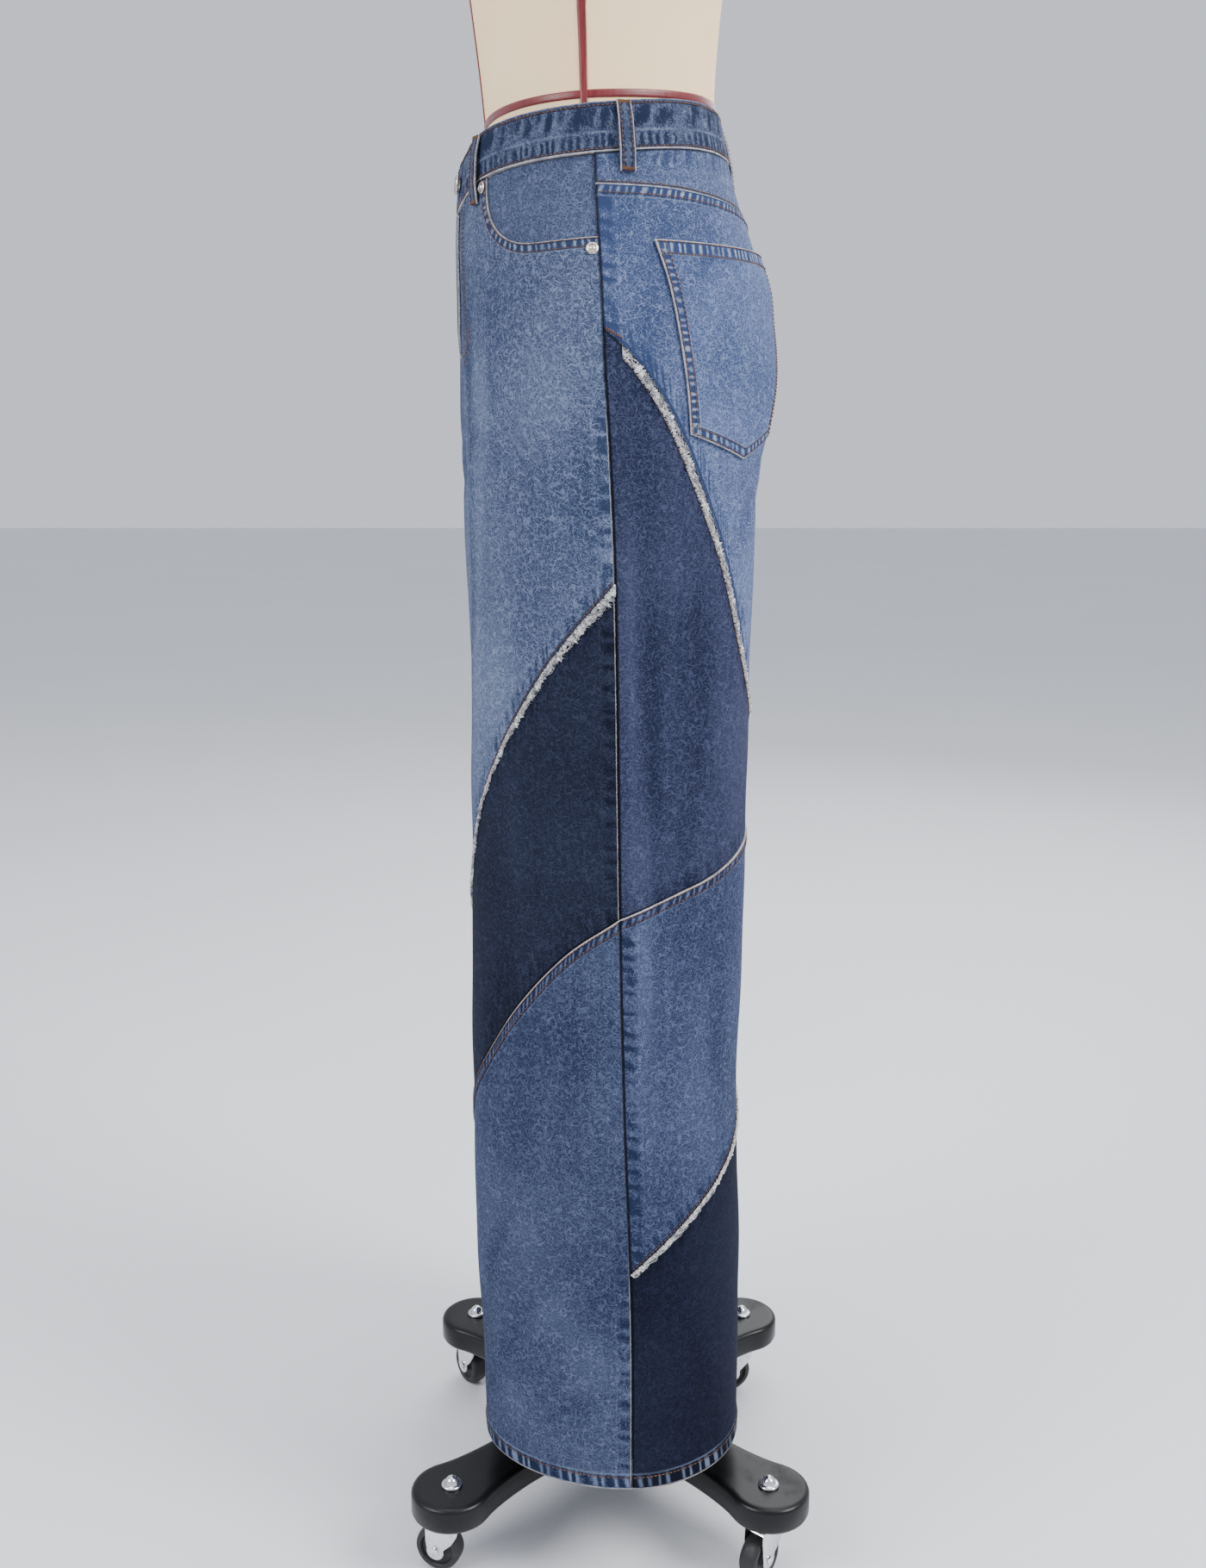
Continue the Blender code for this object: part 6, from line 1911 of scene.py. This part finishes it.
def cheek_outline(steps=18):
    """The side of the fork: broad at the top, down to a round end at the axle."""
    points = [(-0.0108, 0.0500), (0.0094, 0.0500), (0.0094, 0.0440), (0.0078, 0.0375)]
    points += [(0.0030, 0.0290), (-0.0038, 0.0225)]
    for k in range(steps + 1):
        turn = radians(12.0) - k * radians(204.0) / steps
        points.append((-CASTER_TRAIL + 0.0078 * cos(turn), WHEEL_RADIUS + 0.0078 * sin(turn)))
    points += [(-0.0206, 0.0270), (-0.0208, 0.0380), (-0.0200, 0.0455), (-0.0165, 0.0490)]
    return points


def add_plate(fork, outline, low, high, bevel):
    """Add a plate across X, from an outline in Y and Z, with its edges bevelled."""
    edit = bmesh.new()
    ring = [edit.verts.new((low, y, z)) for y, z in outline]
    face = edit.faces.new(ring)
    out = bmesh.ops.extrude_face_region(edit, geom=[face])
    moved = [v for v in out["geom"] if isinstance(v, bmesh.types.BMVert)]
    bmesh.ops.translate(edit, verts=moved, vec=(high - low, 0.0, 0.0))
    bmesh.ops.recalc_face_normals(edit, faces=edit.faces)
    rims = [e for e in edit.edges if abs(e.verts[0].co.x - e.verts[1].co.x) < 1e-6]
    bmesh.ops.bevel(edit, geom=rims, offset=bevel, segments=2, profile=0.5, affect="EDGES")
    plate = bpy.data.meshes.new("plate")
    edit.to_mesh(plate)
    edit.free()
    fork.from_mesh(plate)
    bpy.data.meshes.remove(plate)


def add_lathe(edit, profile, steps, matrix=Matrix.Identity(4)):
    mesh = lathe("turned", profile, steps)
    mesh.transform(matrix)
    edit.from_mesh(mesh)
    bpy.data.meshes.remove(mesh)


def make_fork():
    edit = bmesh.new()
    add_plate(edit, cheek_outline(), -CHEEK_OUT, -CHEEK_IN, 0.0004)
    add_plate(edit, cheek_outline(), CHEEK_IN, CHEEK_OUT, 0.0004)
    crown = ((-0.0205, 0.0455), (-0.0160, 0.0506), (-0.0060, 0.0520), (0.0050, 0.0520), (0.0095, 0.0500),
             (0.0095, 0.0462))
    add_plate(edit, crown, -CHEEK_OUT, CHEEK_OUT, 0.0008)
    add_lathe(edit, ((0.0, 0.0557), (0.0128, 0.0557), (0.0138, 0.0550), (0.0140, 0.0540), (0.0135, 0.0527),
                     (0.0120, 0.0515), (0.0, 0.0510)), 48)
    add_lathe(edit, ((0.0, 0.0776), (0.0040, 0.0776), (0.0040, 0.0530), (0.0, 0.0530)), 24)
    reach = CHEEK_OUT + 0.0022
    axle = Matrix.Translation((0.0, -CASTER_TRAIL, WHEEL_RADIUS)) @ Matrix.Rotation(pi / 2, 4, "Y")
    add_lathe(edit, ((0.0, reach), (0.0020, reach), (0.0036, reach - 0.0008), (0.0038, reach - 0.0021),
                     (0.0025, reach - 0.0022), (0.0025, 0.0022 - reach), (0.0038, 0.0021 - reach),
                     (0.0036, 0.0008 - reach), (0.0020, -reach), (0.0, -reach)), 28, axle)
    mesh = bpy.data.meshes.new("fork")
    edit.to_mesh(mesh)
    edit.free()
    mesh.shade_smooth()
    mesh.set_sharp_from_angle(angle=radians(SHARP_FORK))
    return mesh


def make_wheel():
    """Tyre and hub as one turned ring on X, with a shallow dish and a boss."""
    w = WHEEL_WIDTH / 2
    right = [(r, w * part) for r, part in WHEEL_PROFILE]
    profile = right + [(r, -x) for r, x in reversed(right[:-1])]
    steps = 72
    vertices, faces = [], []
    for r, x in profile:
        for k in range(steps):
            turn = 2 * pi * k / steps
            vertices.append((x, r * cos(turn), r * sin(turn)))
    rows = len(profile)
    for j in range(rows):
        n = (j + 1) % rows
        for k in range(steps):
            m = (k + 1) % steps
            faces.append((j * steps + k, j * steps + m, n * steps + m, n * steps + k))
    mesh = new_mesh("wheel", vertices, faces)
    edit = bmesh.new()
    edit.from_mesh(mesh)
    bmesh.ops.recalc_face_normals(edit, faces=edit.faces)
    edit.to_mesh(mesh)
    edit.free()
    mesh.set_sharp_from_angle(angle=radians(SHARP_TURNED))
    return mesh


chrome, tree, shader = new_material("chrome plate", (0.74, 0.74, 0.76), 0.14, 1.0)
at = object_place(tree)
haze = noise(tree, at, 180.0, 3.0)
finish(tree, shader, blend(tree, ramp(tree, haze, 0.5, 0.8), (0.76, 0.76, 0.78), (0.55, 0.54, 0.54)),
       ramp(tree, haze, 0.35, 0.75, 0.09, 0.26))

rubber, tree, shader = new_material("wheel rubber", (0.012, 0.012, 0.013), 0.55)
at = object_place(tree)
scuff = noise(tree, at, 120.0, 4.0, 0.6)
finish(tree, shader, blend(tree, ramp(tree, scuff, 0.5, 0.8), (0.010, 0.010, 0.011), (0.040, 0.039, 0.038)),
       ramp(tree, scuff, 0.3, 0.8, 0.42, 0.72))

fork_mesh, wheel_mesh = make_fork(), make_wheel()
for name, x, y, heading in CASTERS:
    bolt = Matrix.Translation((BASE_X + x * BOLT_OFFSET, y * BOLT_OFFSET, 0.0))
    turn = Matrix.Rotation(radians(heading + 90.0), 4, "Z")
    fork = fork_mesh.copy()
    fork.transform(bolt @ turn)
    place_piece(f"{name}_caster_fork", fork, chrome, (f"{name}_fork",), f"{name}_caster")
    wheel = wheel_mesh.copy()
    wheel.transform(bolt @ turn @ Matrix.Translation((0.0, -CASTER_TRAIL, WHEEL_RADIUS)))
    place_piece(f"{name}_caster_tyre", wheel, rubber, (f"{name}_wheel",),
                f"{name}_caster_wheel")
    nut = lathe("nut", [(NUT_RADIUS * r, NUT_HEIGHT * h) for r, h in NUT_PROFILE], 40)
    nut.transform(bolt @ Matrix.Translation((0.0, 0.0, ARM_TOP_Z + SEAM_GAP)))
    place_piece(f"{name}_dome_nut", nut, chrome, (f"{name}_nut",))
print(len(CASTERS), "casters")

# %% [markdown]
# ## What the cloth was cut to
#
# Each piece of cloth's width and length before it was sewn were worked out with it, from its own seam lines
# laid flat. Here its thread and its frays are looked up with it, and not used further. The floor is a wide
# plain sheet, which is not part of the object.

for name, (piece, wide, tall, area, neighbours) in cut_sizes.items():
    word = name.removeprefix("sewn_")
    extras = [with_thread[word]] if word in with_thread else []
    extras += with_fray.get(word, [])

# %% Floor
edit = bmesh.new()
bmesh.ops.create_grid(edit, x_segments=2, y_segments=2, size=16.0)
floor_mesh = bpy.data.meshes.new("floor")
edit.to_mesh(floor_mesh)
edit.free()
floor = bpy.data.objects.new("floor", floor_mesh)
bpy.context.scene.collection.objects.link(floor)
floor_material, tree, shader = new_material("pale floor", (0.70, 0.71, 0.74), 0.55)
at = object_place(tree)
finish(tree, shader, blend(tree, noise(tree, at, 1.3), (0.68, 0.69, 0.72), (0.73, 0.74, 0.77)))
floor_mesh.materials.append(floor_material)
